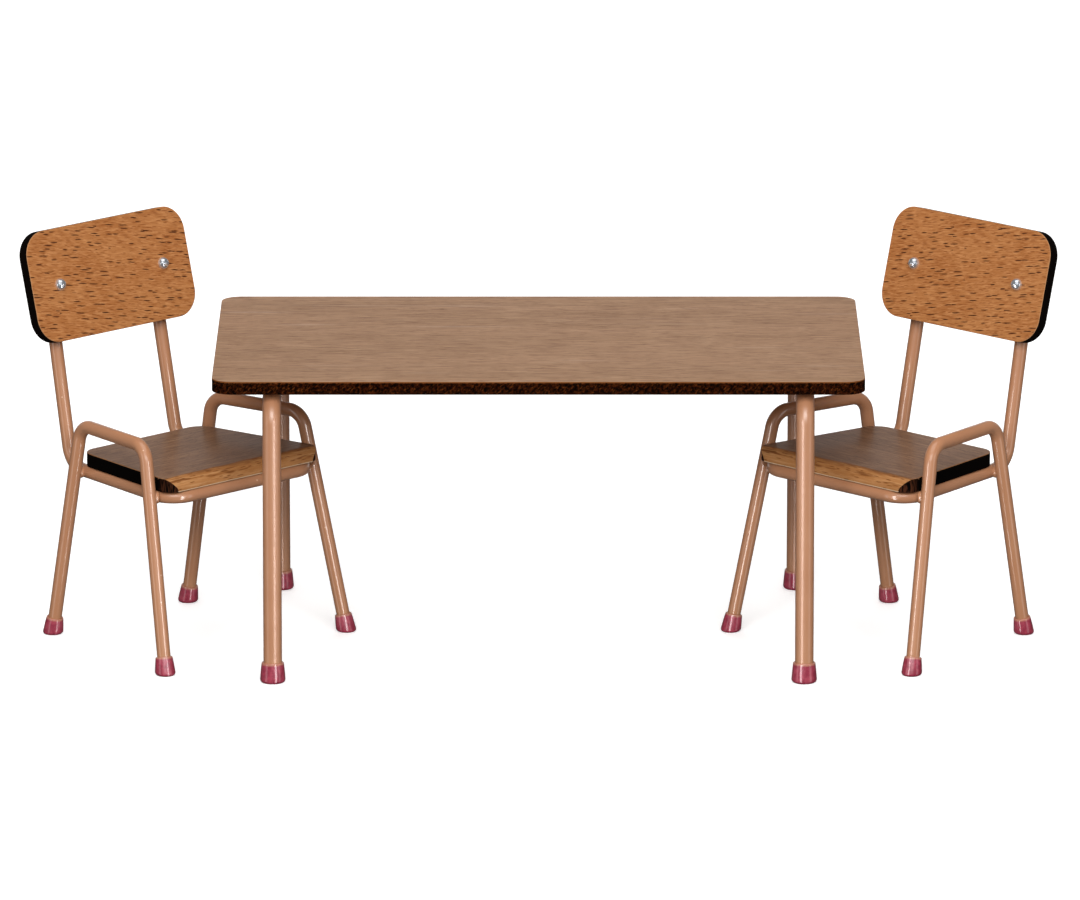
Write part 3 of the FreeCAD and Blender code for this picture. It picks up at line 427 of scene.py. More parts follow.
def backrest_wood(chair, pose):
    """Beech for one backrest, with its grain turned a little from level."""
    material, graph, shader = new_finish(
        f"Backrest wood {chair}", Specular_IOR_Level=0.03, Coat_Roughness=0.34
    )
    grain = Matrix.Rotation(BACKREST_GRAIN * (1 if "right" in chair else -1), 4, "Z")
    place = own_coordinates(graph, *mapping_of(pose @ backrest_frame() @ grain))
    _, _, depth = graph.split(place)
    patch = streaks(graph, place, 60, 170, 2)
    thread = streaks(graph, place, 240, 1500, 3, 0.6)
    hair = streaks(graph, place, 300, 2600, 3, 0.65)
    wood = graph.mix(graph.rise(patch, 0.30, 0.72), paint(166, 104, 55), paint(177, 117, 67))
    wood = graph.mix(graph.rise(thread, 0.42, 0.70) * 0.65, wood, paint(202, 142, 90))
    wood = graph.mix(graph.rise(hair, 0.46, 0.72) * 0.75, wood, paint(132, 70, 28))
    soft = flecks(graph, place, (3.8, 1.1), (1.2, 0.14), 0.70)
    sharp = flecks(graph, place, (5.8, 1.6), (2.0, 0.19), 0.58)
    wood = graph.mix(soft * 0.70, wood, paint(118, 58, 20))
    wood = graph.mix(sharp, wood, paint(58, 20, 4))
    face = top_skin(graph, depth, BACKREST_THICKNESS, BACKREST_FACE_FADE)
    face = face + bottom_skin(graph, depth, BACKREST_FACE_FADE)
    rim = top_skin(graph, depth, BACKREST_THICKNESS, BACKREST_RIM_FADE)
    soot = graph.mix(graph.noise(place, 1400, 3), paint(3, 2, 2), paint(16, 9, 6))
    edge = graph.mix(rim, soot, paint(176, 128, 88))
    graph.feed(shader.inputs["Base Color"], graph.mix(face, edge, wood))
    graph.feed(shader.inputs["Roughness"], 0.90 - 0.35 * face - 0.10 * sharp)
    graph.feed(shader.inputs["Coat Weight"], face * (0.55 - 0.2 * thread))
    bumps(graph, shader, 0.7 * thread + 0.5 * hair - 1.2 * sharp, GRAIN_DEPTH)
    return material


for chair, pose in CHAIRS.items():
    nodes[f"{chair}_backrest_board"].data.materials[0] = backrest_wood(chair, pose)
print("backrest wood on both chairs")

# %% [markdown]
# ## Seats
# A seat's face is a darker, greyer brown with fine grain across the chair. Its sides are burnt
# black like the other edges, but the front was sanded to a quarter round afterwards, which
# shows golden wood, a browned upper border and a thin pale line at the bottom. The distance
# from the quarter round's own axis tells sanded wood from burnt wood. The limits below are
# millimetres from a face, or forward of that axis.

# %% Seat wood
SEAT_FACE_FADE, SEAT_UNDERSIDE_FADE, SEAT_RIM_FADE = (0.01, 0.05), (0.02, 0.06), (0.16, 0.24)
FRONT_FADE, FRONT_START = (0.05, 0.12), (-2.5, -2.0)
SANDED_START, SANDED_WANDER, BORDER_END = (0.0, 1.1), 5.5 * MM, (0.6, 2.2)
PALE_LINE, BARS_START = (0.30, 0.42), (-2.5, 0.5)


def seat_wood(chair, pose):
    """Darker plywood for one seat, with its burnt sides and its sanded front."""
    material, graph, shader = new_finish(
        f"Chair wood {chair}", Specular_IOR_Level=0.03, Coat_Roughness=0.30
    )
    underside = Matrix.Translation((0, 0, RAIL_HEIGHT + ROD_DIAMETER / 2))
    place = own_coordinates(graph, *mapping_of(pose @ underside))
    x, y, z = graph.split(place)
    across = graph.join(y, x, z)
    broad = streaks(graph, across, 22, 130, 2)
    fine = streaks(graph, across, 70, 1000, 4, 0.7)
    hair = streaks(graph, across, 170, 1900, 4, 0.68)
    wood = graph.mix(graph.rise(broad, 0.3, 0.7), paint(108, 74, 50), paint(126, 91, 66))
    wood = graph.mix(graph.rise(fine, 0.40, 0.72) * 0.7, wood, paint(160, 126, 98))
    wood = graph.mix(graph.rise(hair, 0.46, 0.74) * 0.8, wood, paint(84, 54, 34))
    dashes = flecks(graph, across, (4.0, 1.2), (1.1, 0.13), 0.55)
    wood = graph.mix(dashes * 0.75, wood, paint(72, 42, 24))
    axis_x = (RAIL_FRONT + SEAT_OVERHANG - SEAT_ROUND_OVER) * MM
    axis_z = (SEAT_THICKNESS - SEAT_ROUND_OVER) * MM
    run, rise = x - axis_x, z - axis_z
    ring = graph.math("SQRT", run * run + rise * rise)
    ragged = run + (streaks(graph, across, 70, 400, 3) - 0.5) * SANDED_WANDER
    front = top_skin(graph, ring, SEAT_ROUND_OVER, FRONT_FADE) * past(graph, run, FRONT_START)
    sanded = front * past(graph, ragged, SANDED_START)
    gold = graph.mix(graph.rise(broad, 0.3, 0.7), paint(158, 104, 58), paint(178, 124, 76))
    gold = graph.mix(graph.rise(fine, 0.42, 0.76) * 0.6, gold, paint(208, 158, 108))
    gold = graph.mix(graph.rise(hair, 0.46, 0.76) * 0.6, gold, paint(142, 88, 44))
    brown = streaks(graph, across, 90, 900, 2)
    gold = graph.mix(graph.rise(brown, 0.56, 0.68) * 0.8, gold, paint(110, 62, 28))
    border = 1 - past(graph, ragged, BORDER_END)
    gold = graph.mix(border * 0.85, gold, paint(128, 82, 48))
    bow = graph.join(y, graph.math("ARCTAN2", rise, run) * (SEAT_ROUND_OVER * MM), 0)
    splits = flecks(graph, bow, (4.4, 1.2), (1.5, 0.14), 0.55)
    gold = graph.mix(splits * 0.85, gold, paint(96, 52, 22))
    gold = graph.mix(bottom_skin(graph, z, PALE_LINE), gold, paint(214, 184, 150))
    rim = top_skin(graph, z, SEAT_THICKNESS, SEAT_RIM_FADE)
    face = top_skin(graph, z, SEAT_THICKNESS, SEAT_FACE_FADE)
    face = graph.math("MAXIMUM", face, front) + bottom_skin(graph, z, SEAT_UNDERSIDE_FADE)
    bars = graph.noise(graph.join((x + y) * 2600, (x - y) * 600, z * 260), 1.0, 2)
    corner = past(graph, run, BARS_START) * graph.rise(bars, 0.42, 0.62)
    soot = graph.mix(corner * 0.8, paint(5, 3, 2), paint(74, 40, 24))
    edge = graph.mix(rim, soot, paint(150, 106, 72))
    colour = graph.mix(face, edge, wood)
    graph.feed(shader.inputs["Base Color"], graph.mix(sanded, colour, gold))
    graph.feed(shader.inputs["Roughness"], 0.90 - 0.35 * face + 0.10 * fine)
    graph.feed(shader.inputs["Coat Weight"], (1 - sanded * 0.5) * face * (0.48 - 0.3 * fine))
    bumps(graph, shader, 0.7 * fine + 0.5 * hair, GRAIN_DEPTH)
    return material


for chair, pose in CHAIRS.items():
    nodes[f"{chair}_seat_board"].data.materials[0] = seat_wood(chair, pose)
nodes["table_top"].data.materials[0] = tabletop_wood
print("seat wood on both chairs, tabletop wood on the top")

# %% [markdown]
# ## Steel and rubber
# The rivets are chrome, with hair-fine scratches that soften the mirror a little. The screws
# under the boards are brushed steel. The caps are soft raspberry plastic, cloudy inside, and
# the lip at the top is so thin that the painted rod shows through it.

# %% Chrome and brushed steel
BRUSH_DEPTH = 0.02 * MM
rivet_steel, graph, shader = new_finish(
    "Rivet chrome", Base_Color=paint(232, 238, 246), Metallic=0.85
)
place = graph.node("ShaderNodeTexCoord", None, None, "Object")
scratches = graph.noise(place, 2200, 3, 0.7)
graph.feed(shader.inputs["Roughness"], 0.17 + 0.10 * graph.rise(scratches, 0.45, 0.8))
screw_steel, graph, shader = new_finish(
    "Screw steel", Base_Color=paint(168, 168, 166), Metallic=1.0
)
place = graph.node("ShaderNodeTexCoord", None, None, "Object")
x, y, z = graph.split(place)
brushed = graph.noise(graph.join(x * 5000, y * 500, z * 500), 1.0, 3)
graph.feed(shader.inputs["Roughness"], 0.26 + 0.22 * brushed)
bumps(graph, shader, brushed, BRUSH_DEPTH)
print("two steels")

# %% Cap rubber
CAP_RIPPLE = 0.03 * MM
LIP_FADE, LIP_WANDER = (0.35, 0.95), 0.8 * MM
cap_rubber, graph, shader = new_finish(
    "Cap rubber", Specular_IOR_Level=0.55, Subsurface_Weight=0.12,
    Subsurface_Scale=0.0012, Subsurface_Radius=(1.0, 0.35, 0.3), Coat_Roughness=0.09,
)
place = graph.node("ShaderNodeTexCoord", None, None, "Object")
mottle = graph.noise(place, 780, 3, 0.6)
cloud = graph.noise(place, 170, 2)
berry = graph.mix(graph.rise(mottle, 0.36, 0.66), paint(140, 39, 61), paint(168, 60, 80))
berry = graph.mix(graph.rise(cloud, 0.45, 0.75) * 0.5, berry, paint(188, 90, 104))
rim_depth = graph.node("ShaderNodeAttribute", {"attribute_name": "rim_depth"}, None, "Fac")
lip = 1 - past(graph, rim_depth + (mottle - 0.5) * LIP_WANDER, LIP_FADE)
graph.feed(shader.inputs["Base Color"], graph.mix(lip * 0.85, berry, paint(186, 128, 104)))
graph.feed(shader.inputs["Roughness"], 0.26 + 0.16 * mottle)
graph.feed(shader.inputs["Coat Weight"], 0.55 + 0.3 * cloud)
bumps(graph, shader, mottle, CAP_RIPPLE)
print("cap rubber:", len(cap_rubber.node_tree.nodes), "nodes")

# %% [markdown]
# ## Geometry Nodes, made once and used many times
# A modifier could stay live on each piece, but the finished model needs plain meshes. So a
# tree is built, given its inputs by their identifiers, evaluated once, and the result is
# kept as a mesh of its own, with its faces smooth except across sharp corners.

# %% Build a tree and keep its result
SHARP_CORNER = math.radians(38)


def new_tree(name, inputs):
    """A geometry tree with named inputs: its graph and its inputs as values."""
    tree = bpy.data.node_groups.new(name, "GeometryNodeTree")
    tree.is_modifier = True
    tree.interface.new_socket("Geometry", in_out="INPUT", socket_type="NodeSocketGeometry")
    tree.interface.new_socket("Geometry", in_out="OUTPUT", socket_type="NodeSocketGeometry")
    for label, kind in inputs.items():
        tree.interface.new_socket(label, in_out="INPUT", socket_type=f"NodeSocket{kind}")
    graph = Graph(tree)
    start = tree.nodes.new("NodeGroupInput")
    return graph, {out.name: Value(graph, out) for out in start.outputs if out.name}


def finish_tree(graph, geometry, material):
    """End a tree as the finished model needs it: real geometry with its material."""
    geometry = graph.node("GeometryNodeRealizeInstances", None, {0: geometry})
    sockets = {"Geometry": geometry, "Material": material}
    geometry = graph.node("GeometryNodeSetMaterial", None, sockets)
    end = graph.tree.nodes.new("NodeGroupOutput")
    graph.feed(end.inputs[0], geometry)


def point_value(graph, kind, name):
    """What the points of the incoming mesh carry under a name."""
    return graph.node("GeometryNodeInputNamedAttribute", {"data_type": kind}, {"Name": name})


def grow(name, mesh, graph, values, body, replaced):
    """Run a tree on a mesh and keep the result as one finished piece."""
    seed = bpy.data.objects.new(f"{name}_seed", mesh)
    bpy.context.collection.objects.link(seed)
    modifier = seed.modifiers.new("Tree", "NODES")
    modifier.node_group = graph.tree
    for item in graph.tree.interface.items_tree:
        if item.in_out == "INPUT" and item.name in values:
            modifier[item.identifier] = values[item.name]
    evaluated = seed.evaluated_get(bpy.context.evaluated_depsgraph_get())
    grown = bpy.data.meshes.new_from_object(evaluated)
    bpy.data.objects.remove(seed)
    grown.name = name
    grown.set_sharp_from_angle(angle=SHARP_CORNER)
    piece = bpy.data.objects.new(name, grown)
    bpy.context.collection.objects.link(piece)
    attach(piece, body)
    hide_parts(*replaced)
    print(name, "has", len(grown.polygons), "faces")
    return piece


def point_mesh(name, points, edges=(), **attributes):
    """A mesh of loose points or lines that carries named values on its points."""
    mesh = bpy.data.meshes.new(name)
    mesh.from_pydata([tuple(point) for point in points], list(edges), [])
    for label, values in attributes.items():
        vectors = isinstance(values[0], Vector)
        kind, field = ("FLOAT_VECTOR", "vector") if vectors else ("FLOAT", "value")
        layer = mesh.attributes.new(label, kind, "POINT")
        for entry, value in zip(layer.data, values):
            setattr(entry, field, value)
    return mesh


print("tree helpers ready")

# %% [markdown]
# ## Bent rods
# A wire bender works to a list of corners, each with its bend radius, and this tree does the
# same. The corners come in as a line, Fillet Curve rounds each one by its own radius, and a
# circle swept along gives the rod. Modelling each tube by hand would need every bend again.

# %% The rod bender
bender, given = new_tree(
    "Rod bender", {"Rod diameter": "Float", "Bend steps": "Int", "Sides": "Int",
                   "Material": "Material"}
)
line = bender.node("GeometryNodeMeshToCurve", None, {0: given["Geometry"]})
radius = point_value(bender, "FLOAT", "bend_radius")
line = bender.node("GeometryNodeFilletCurve", {"mode": "POLY"},
                   {"Curve": line, "Count": given["Bend steps"], "Radius": radius})
ring = bender.node("GeometryNodeCurvePrimitiveCircle", {"mode": "RADIUS"},
                   {"Resolution": given["Sides"], "Radius": given["Rod diameter"] / 2})
rod = bender.node("GeometryNodeCurveToMesh", None,
                  {"Curve": line, "Profile Curve": ring, "Fill Caps": True})
rod = bender.node("GeometryNodeSetShadeSmooth", None, {"Geometry": rod, "Shade Smooth": True})
finish_tree(bender, rod, given["Material"])
print("rod bender:", len(bender.tree.nodes), "nodes")


# %% Bend every frame
BEND_STEPS, ROD_SIDES = 20, 36


def bend(name, rods, diameter, finish, body, replaced):
    """One piece of bent rods: each is a list of corners in millimetres and their radii."""
    points, edges, radii = [], [], []
    for corners, bends in rods:
        edges += [(len(points) + i, len(points) + i + 1) for i in range(len(corners) - 1)]
        points += [corner * MM for corner in corners]
        radii += [0.0] + [r * MM for r in bends] + [0.0]
    mesh = point_mesh(f"{name}_line", points, edges, bend_radius=radii)
    values = {"Rod diameter": diameter * MM, "Bend steps": BEND_STEPS, "Sides": ROD_SIDES,
              "Material": finish}
    return grow(name, mesh, bender, values, body, replaced)


def above_floor(foot, shoulder):
    """The end of a rod inside its cap, on the line from its foot to its shoulder."""
    return foot + (shoulder - foot) * (ROD_END_HEIGHT / (shoulder.z - foot.z))


LEG_FEET = {}
leg_rods = []
for side in (-1, 1):
    x = side * (TABLE_LENGTH / 2 - LEG_END_INSET)
    shoulder_y = TABLE_DEPTH / 2 - LEG_SIDE_INSET
    bar_z = TABLE_HEIGHT - TOP_THICKNESS - LEG_DIAMETER / 2
    feet = [Vector((x, way * (shoulder_y + LEG_SPLAY), 0)) for way in (-1, 1)]
    shoulders = [Vector((x, way * shoulder_y, bar_z)) for way in (-1, 1)]
    ends = [above_floor(foot, shoulder) for foot, shoulder in zip(feet, shoulders)]
    leg_rods.append(([ends[0], *shoulders, ends[1]], [LEG_BEND, LEG_BEND]))
    LEG_FEET.setdefault("table", []).extend(zip(feet, shoulders))
bend("table_legs", leg_rods, LEG_DIAMETER, leg_paint, "table",
     ["table_leg_frame_left", "table_leg_frame_right"])
for chair, pose in CHAIRS.items():
    half = [upright_point(UPRIGHT_LENGTH, -1), upright_point(KINK_RISE, -1),
            rail_point(-RAIL_REAR, -1), rail_point(RAIL_FRONT, -1)]
    other_half = [Vector((p.x, -p.y, p.z)) for p in reversed(half)]
    bends = [KINK_BEND, REAR_BEND, RAIL_CORNER]
    chair_rods = [([pose @ p for p in half + other_half], bends + bends[::-1])]
    for side in (-1, 1):
        plane = pose @ side_pose(side)
        feet = [plane @ Vector((way * SIDE_STANCE / 2, 0, 0)) for way in (-1, 1)]
        arms = [plane @ Vector((way * ARM_LENGTH / 2 - ARM_SETBACK, 0, ARM_HEIGHT))
                for way in (-1, 1)]
        ends = [above_floor(foot, arm) for foot, arm in zip(feet, arms)]
        chair_rods.append(([ends[0], *arms, ends[1]], [ARM_BEND, ARM_BEND]))
        LEG_FEET.setdefault(chair, []).extend(zip(feet, arms))
    bend(f"{chair}_rods", chair_rods, ROD_DIAMETER, frame_paint, chair,
         [f"{chair}_seat_frame", f"{chair}_side_frame_left", f"{chair}_side_frame_right"])
print("feet:", {body: len(feet) for body, feet in LEG_FEET.items()})

# %% [markdown]
# ## Foot caps
# A moulded cap is a turned shape: a flat sole with a rounded edge, a flared wall, and a thin
# lip round the rod. It is drawn once as an outline and turned. The legs lean, though, and a
# cap that only leaned with them would lift one side off the floor. The tree therefore puts
# an upright copy on every foot and bends it: flat on the floor at its sole, square to its
# leg at its lip.

# %% Turn an outline
TURNED_SIDES = 48


def turned_mesh(name, outline):
    """A closed turned body from (radius, height) pairs, from pole to pole, in millimetres."""
    points, faces, rings = [], [], []
    for radius, height in outline:
        count = TURNED_SIDES if radius > 0 else 1
        rings.append(range(len(points), len(points) + count))
        for step in range(count):
            angle = 2 * math.pi * step / TURNED_SIDES
            points.append((radius * math.cos(angle) * MM, radius * math.sin(angle) * MM,
                           height * MM))
    for low, high in zip(rings, rings[1:]):
        for step in range(TURNED_SIDES):
            after = (step + 1) % TURNED_SIDES
            face = [low[step % len(low)], low[after % len(low)],
                    high[after % len(high)], high[step % len(high)]]
            faces.append(list(dict.fromkeys(face)))
    mesh = bpy.data.meshes.new(name)
    mesh.from_pydata(points, [], faces)
    shape = bmesh.new()
    shape.from_mesh(mesh)
    bmesh.ops.recalc_face_normals(shape, faces=shape.faces)
    shape.to_mesh(mesh)
    shape.free()
    mesh.shade_smooth()
    return mesh


def quarter(centre, radius, start, end, steps):
    """Points of an arc about a centre, between two angles in degrees."""
    turns = [math.radians(start + (end - start) * i / steps) for i in range(steps + 1)]
    return [(centre[0] + radius * math.cos(a), centre[1] + radius * math.sin(a)) for a in turns]


print("outlines are turned in", TURNED_SIDES, "steps")

# %% Draw the caps, in millimetres
CAP_SIZES = {
    "table": {"rod_radius": LEG_DIAMETER / 2, "wall": 0.6, "flare": 0.75, "height": 6.6},
    "chair": {"rod_radius": ROD_DIAMETER / 2, "wall": 0.55, "flare": 0.9, "height": 6.0},
}
SOLE_ROUND, LIP_ROUND, BELLY, FLARE_TAIL = 1.05, 0.3, 0.03, 1.5
MOUTH_GAP, MOUTH_CHAMFER, MOUTH_DEPTH = 0.01, (0.06, 0.12), 0.3


def cap_outline(rod_radius, wall, flare, height):
    """Half section of a foot cap, from the middle of its sole to the rod inside its lip."""
    rim = rod_radius + wall
    foot = rim + flare * height / (height + FLARE_TAIL)

    def waist(level):
        return foot + (rim - foot) * level / height

    outline = [(0, 0), (foot * 0.5, 0)]
    outline += quarter((waist(SOLE_ROUND) - SOLE_ROUND, SOLE_ROUND), SOLE_ROUND, -90, 0, 10)
    for share in (0.25, 0.5, 0.75):
        level = SOLE_ROUND + (height - LIP_ROUND - SOLE_ROUND) * share
        outline.append((waist(level) + BELLY * math.sin(math.pi * share), level))
    lip = height - LIP_ROUND
    outline += quarter((waist(lip) - LIP_ROUND, lip), LIP_ROUND, 0, 100, 6)
    mouth = rod_radius + MOUTH_GAP
    return outline + [(mouth + MOUTH_CHAMFER[0], height - MOUTH_CHAMFER[1]),
                      (mouth, height - MOUTH_DEPTH), (0, height - MOUTH_DEPTH)]


def cap_mesh(name, sizes):
    """A turned cap, whose points carry how far they lie below its rim."""
    mesh = turned_mesh(name, cap_outline(**sizes))
    depth = mesh.attributes.new("rim_depth", "FLOAT", "POINT")
    for entry, vertex in zip(depth.data, mesh.vertices):
        entry.value = sizes["height"] * MM - vertex.co.z
    return mesh


cap_shapes = {}
for kind, sizes in CAP_SIZES.items():
    cap_shapes[kind] = bpy.data.objects.new(f"{kind}_cap", cap_mesh(f"{kind}_cap", sizes))
print({kind: len(shape.data.vertices) for kind, shape in cap_shapes.items()}, "points a cap")

# %% The capper
LEAN_RANGE = (0.1, 0.95)
capper, given = new_tree(
    "Capper", {"Shape": "Object", "Cap height": "Float", "Material": "Material"}
)
shape = capper.node("GeometryNodeObjectInfo", None, {0: given["Shape"]}, "Geometry")
caps = capper.node("GeometryNodeInstanceOnPoints", None,
                   {"Points": given["Geometry"], "Instance": shape})
caps = capper.node("GeometryNodeRealizeInstances", None, {0: caps})
foot = point_value(capper, "FLOAT_VECTOR", "foot")
uphill = point_value(capper, "FLOAT_VECTOR", "uphill")
here = capper.node("GeometryNodeInputPosition")
local = capper.node("ShaderNodeVectorMath", {"operation": "SUBTRACT"}, {0: here, 1: foot})
local_x, local_y, local_z = capper.split(local)
_, _, climb = capper.split(uphill)
sheared = capper.node("ShaderNodeVectorMath", {"operation": "MULTIPLY_ADD"}, {
    0: uphill, 1: capper.join(*[local_z / climb] * 3), 2: capper.join(local_x, local_y, 0)})
aim = capper.node("FunctionNodeAlignRotationToVector", {"axis": "Z"}, {"Vector": uphill})
leaned = capper.node("FunctionNodeRotateVector", None, {"Vector": local, "Rotation": aim})
share = capper.rise(local_z / given["Cap height"], *LEAN_RANGE)
bent = capper.node("ShaderNodeMix", {"data_type": "VECTOR"}, {
    "Factor_Float": share, "A_Vector": sheared, "B_Vector": leaned}, "Result_Vector")
bent = capper.node("ShaderNodeVectorMath", {"operation": "ADD"}, {0: bent, 1: foot})
caps = capper.node("GeometryNodeSetPosition", None, {"Geometry": caps, "Position": bent})
finish_tree(capper, caps, given["Material"])
print("capper:", len(capper.tree.nodes), "nodes")

# %% Cap every foot
for body, legs in LEG_FEET.items():
    kind = "table" if body == "table" else "chair"
    soles = [foot * MM for foot, _ in legs]
    directions = [(shoulder - foot).normalized() for foot, shoulder in legs]
    spots = point_mesh(f"{body}_soles", soles, foot=soles, uphill=directions)
    values = {"Shape": cap_shapes[kind], "Material": cap_rubber,
              "Cap height": CAP_SIZES[kind]["height"] * MM}
    grow(f"{body}_foot_caps", spots, capper, values, body,
         [node for node in nodes if node.startswith(f"{body}_foot_cap_")])

# %% [markdown]
# ## Rivets
# Two domed rivets hold each backrest. One rivet is turned from its outline, and a tree sets a
# copy at each hole, square to the board. Copies made by a tree stay identical and take one
# outline, where duplicated objects would each need placing.

# %% One rivet, set twice on each chair
RIVET_RADIUS, RIVET_DOME, RIVET_SHANK, HEAD_CHAMFER, TAIL_GAP = 2.05, 2.0, 1.0, 0.1, 0.02
RIVET_TAIL = [(0, -0.8), (0.8, -0.68), (1.3, -0.42), (1.6, 0)]
grip = BACKREST_THICKNESS + ROD_DIAMETER
dome_radius = (RIVET_RADIUS**2 + RIVET_DOME**2) / (2 * RIVET_DOME)
dome_start = math.degrees(math.asin((RIVET_DOME - dome_radius) / dome_radius))
rivet_outline = [(radius, height - grip) for radius, height in RIVET_TAIL]
rivet_outline += [(RIVET_SHANK, TAIL_GAP - grip), (RIVET_SHANK, 0.0),
                  (RIVET_RADIUS - HEAD_CHAMFER, 0.0)]
rivet_outline += quarter((0, RIVET_DOME - dome_radius), dome_radius, dome_start, 90, 14)[:-1]
rivet_outline += [(0, RIVET_DOME)]
rivet_shape = bpy.data.objects.new("rivet", turned_mesh("rivet", rivet_outline))

setter, given = new_tree("Rivet setter", {"Shape": "Object", "Material": "Material"})
shape = setter.node("GeometryNodeObjectInfo", None, {0: given["Shape"]}, "Geometry")
outward = point_value(setter, "FLOAT_VECTOR", "outward")
aim = setter.node("FunctionNodeAlignRotationToVector", {"axis": "Z"}, {"Vector": outward})
rivets = setter.node("GeometryNodeInstanceOnPoints", None, {
    "Points": given["Geometry"], "Instance": shape, "Rotation": aim})
finish_tree(setter, rivets, given["Material"])

for chair, pose in CHAIRS.items():
    board = pose @ backrest_frame()
    holes = [board @ Vector((upright_point(BACKREST_RISE, side).y, 0, BACKREST_THICKNESS))
             for side in (-1, 1)]
    facing = (board.to_3x3() @ Z_AXIS).normalized()
    spots = point_mesh(f"{chair}_holes", [hole * MM for hole in holes], outward=[facing] * 2)
    grow(f"{chair}_rivets", spots, setter, {"Shape": rivet_shape, "Material": rivet_steel},
         chair, [f"{chair}_rivet_left", f"{chair}_rivet_right"])

# %% [markdown]
# ## Small steel parts
# The lugs, straps and screws sit under the boards, and the weld beads where a seat rail meets
# a leg. They could be modelled again, but their engineered solids already have the right
# shapes, so they stay and only take the new finishes.

# %% Finish the small parts
SMALL_PARTS = {"screws": screw_steel, "lug": frame_paint, "strap": frame_paint,
               "weld": frame_paint}
for name, node in nodes.items():
    for word, finish in SMALL_PARTS.items():
        if word in name:
            node.data.materials[0] = finish
print("finished:", sum(any(word in name for word in SMALL_PARTS) for name in nodes), "nodes")

# %% [markdown]
# ## Studio
# A pale floor and soft light. Softboxes overhead, in front and behind give even light. Other
# panels show only in reflections: a strip between the chairs and one at each side draw the
# thin bright line down each rod, towards the middle on both chairs, and wide ones in front
# and behind put a sheen on the paint. The room is white to the eye but greyer in reflections,
# which keeps the edges of the rods dark, and the floor glows a little to stay as pale.


# %% Floor and softboxes
def softbox(name, place, target, width, height, power):
    """A rectangular light aimed from a place to a target, in metres and watts."""
    light = bpy.data.lights.new(name, "AREA")
    light.shape, light.size, light.size_y, light.energy = "RECTANGLE", width, height, power
    lamp = bpy.data.objects.new(name, light)
    bpy.context.collection.objects.link(lamp)
    aim = Vector(target) - Vector(place)
    turn = aim.to_track_quat("-Z", "Y")
    lamp.matrix_world = Matrix.Translation(place) @ turn.to_matrix().to_4x4()
    lamp.visible_camera = False
    return lamp


FLOOR_REACH = 0.9
floor_finish, graph, shader = new_finish(
    "Floor", Roughness=0.9, Specular_IOR_Level=0.1, Emission_Strength=0.45
)
place = graph.node("ShaderNodeTexCoord", None, None, "Object")
shade = graph.mix(graph.noise(place, 3, 2), (0.93, 0.93, 0.93, 1), (0.96, 0.96, 0.96, 1))
graph.feed(shader.inputs["Base Color"], shade)
graph.feed(shader.inputs["Emission Color"], shade)
floor_mesh = bpy.data.meshes.new("floor")
signs = ((-1, -1), (1, -1), (1, 1), (-1, 1))
corners = [(x * FLOOR_REACH, y * FLOOR_REACH, 0) for x, y in signs]
floor_mesh.from_pydata(corners, [], [(0, 1, 2, 3)])
floor_mesh.materials.append(floor_finish)
floor = bpy.data.objects.new("floor", floor_mesh)
bpy.context.collection.objects.link(floor)
floor.visible_glossy = False
floor.visible_diffuse = False
floor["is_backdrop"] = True

middle = (0.0, 0.0, 0.06)
softbox("overhead", (0.0, -0.35, 1.5), (0.0, 0.0, 0.0), 1.3, 1.3, 7.0)
soft = [
    softbox("front_fill", (0.0, -1.6, 0.9), middle, 1.4, 0.7, 30.0),
    softbox("back_fill", (0.0, 1.6, 0.9), middle, 1.4, 0.7, 8.0),
]
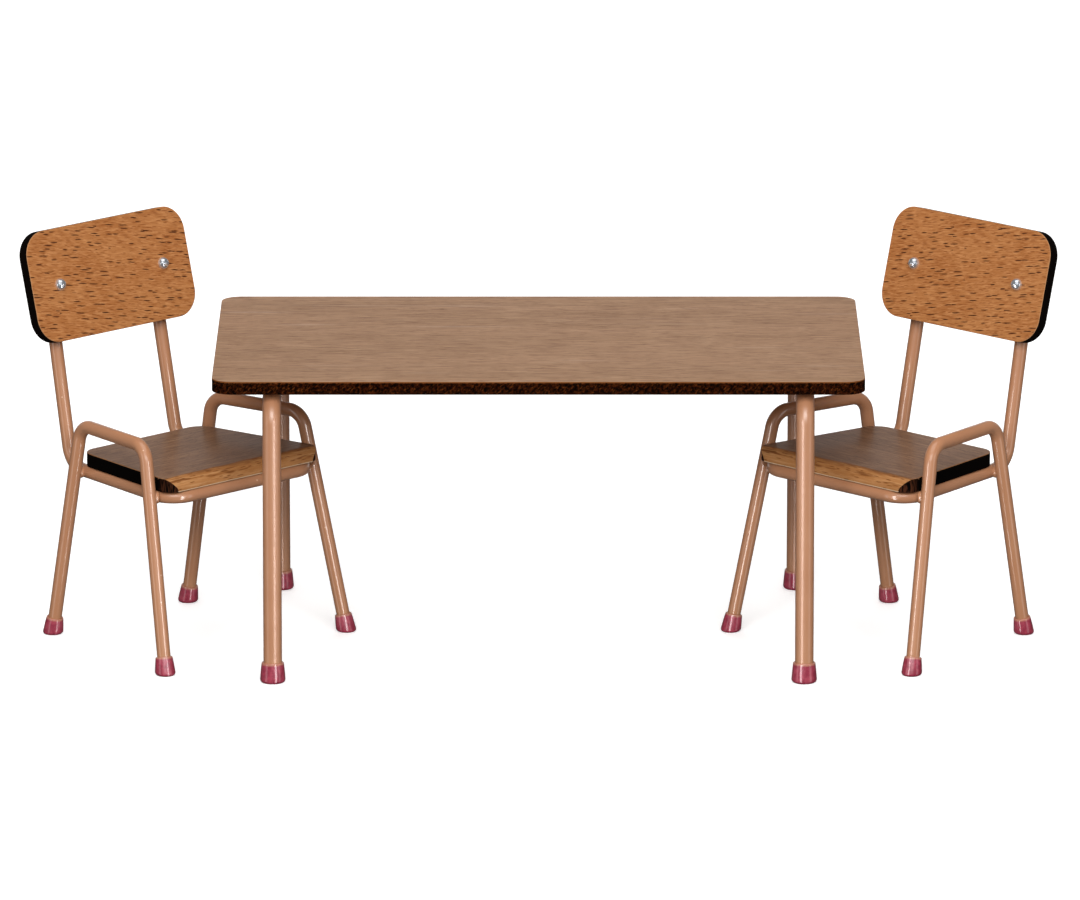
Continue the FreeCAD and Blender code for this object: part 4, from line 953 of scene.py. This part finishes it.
shine = [
    softbox("centre_strip", (0.0, -0.2, -0.01), (0.0, 0.0, -0.01), 0.05, 0.25, 0.42),
    softbox("left_strip", (-0.6, -0.35, 0.0), (0.0, 0.0, 0.0), 0.2, 0.6, 0.6),
    softbox("right_strip", (0.6, -0.35, 0.0), (0.0, 0.0, 0.0), 0.2, 0.6, 0.6),
    softbox("front_panel", (0.0, -1.6, 0.9), middle, 1.2, 0.7, 28.0),
    softbox("rear_panel", (0.0, 1.2, 0.32), (0.0, 0.0, 0.08), 2.4, 0.45, 2.0),
]
for lamp in soft:
    lamp.visible_glossy = False
for lamp in shine:
    lamp.visible_diffuse = False
print(1 + len(soft), "soft lights and", len(shine), "panels for reflections only")

# %% White room
ROOM_LIGHT, SEEN_MORE, MIRRORED_LESS = 0.34, 0.76, 0.28
world = bpy.data.worlds.new("Room")
bpy.context.scene.world = world
world.use_nodes = True
graph = Graph(world.node_tree)
background = world.node_tree.nodes["Background"]
seen = graph.node("ShaderNodeLightPath", None, None, "Is Camera Ray")
mirrored = Value(graph, seen.socket.node.outputs["Is Glossy Ray"])
background.inputs["Color"].default_value = (1.0, 1.0, 1.0, 1.0)
strength = ROOM_LIGHT + SEEN_MORE * seen - MIRRORED_LESS * mirrored
graph.feed(background.inputs["Strength"], strength)
scene = bpy.context.scene
scene.view_settings.view_transform = "Standard"
print("room: white to the eye, dim in reflections")

# %% [markdown]
# ## Camera
# A long lens from well back, a little above, looking down at the set. It keeps the legs
# nearly parallel, where a short lens close by would spread them.

# %% Camera
SENSOR_WIDTH, LENS, FARTHEST = 36.0, 361.4, 60.0
CAMERA_PLACE, LOOK_DOWN = (0.0, -3.449, 0.8906), 0.236
camera_data = bpy.data.cameras.new("Camera")
camera_data.sensor_width = SENSOR_WIDTH
camera_data.lens = LENS
camera_data.shift_x, camera_data.shift_y = 0.0014, 0.0029
camera_data.clip_end = FARTHEST
camera = bpy.data.objects.new("Camera", camera_data)
bpy.context.collection.objects.link(camera)
tilt = Euler((math.pi / 2 - LOOK_DOWN, 0, 0))
camera.matrix_world = Matrix.Translation(CAMERA_PLACE) @ tilt.to_matrix().to_4x4()
scene.camera = camera
print("lens", LENS, "mm")

# %% Sizes, and done
shown_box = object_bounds()
sizes = {"cad": [list(corner) for corner in cad_box],
         "visual": [list(corner) for corner in shown_box]}
print("sizes:", sizes)
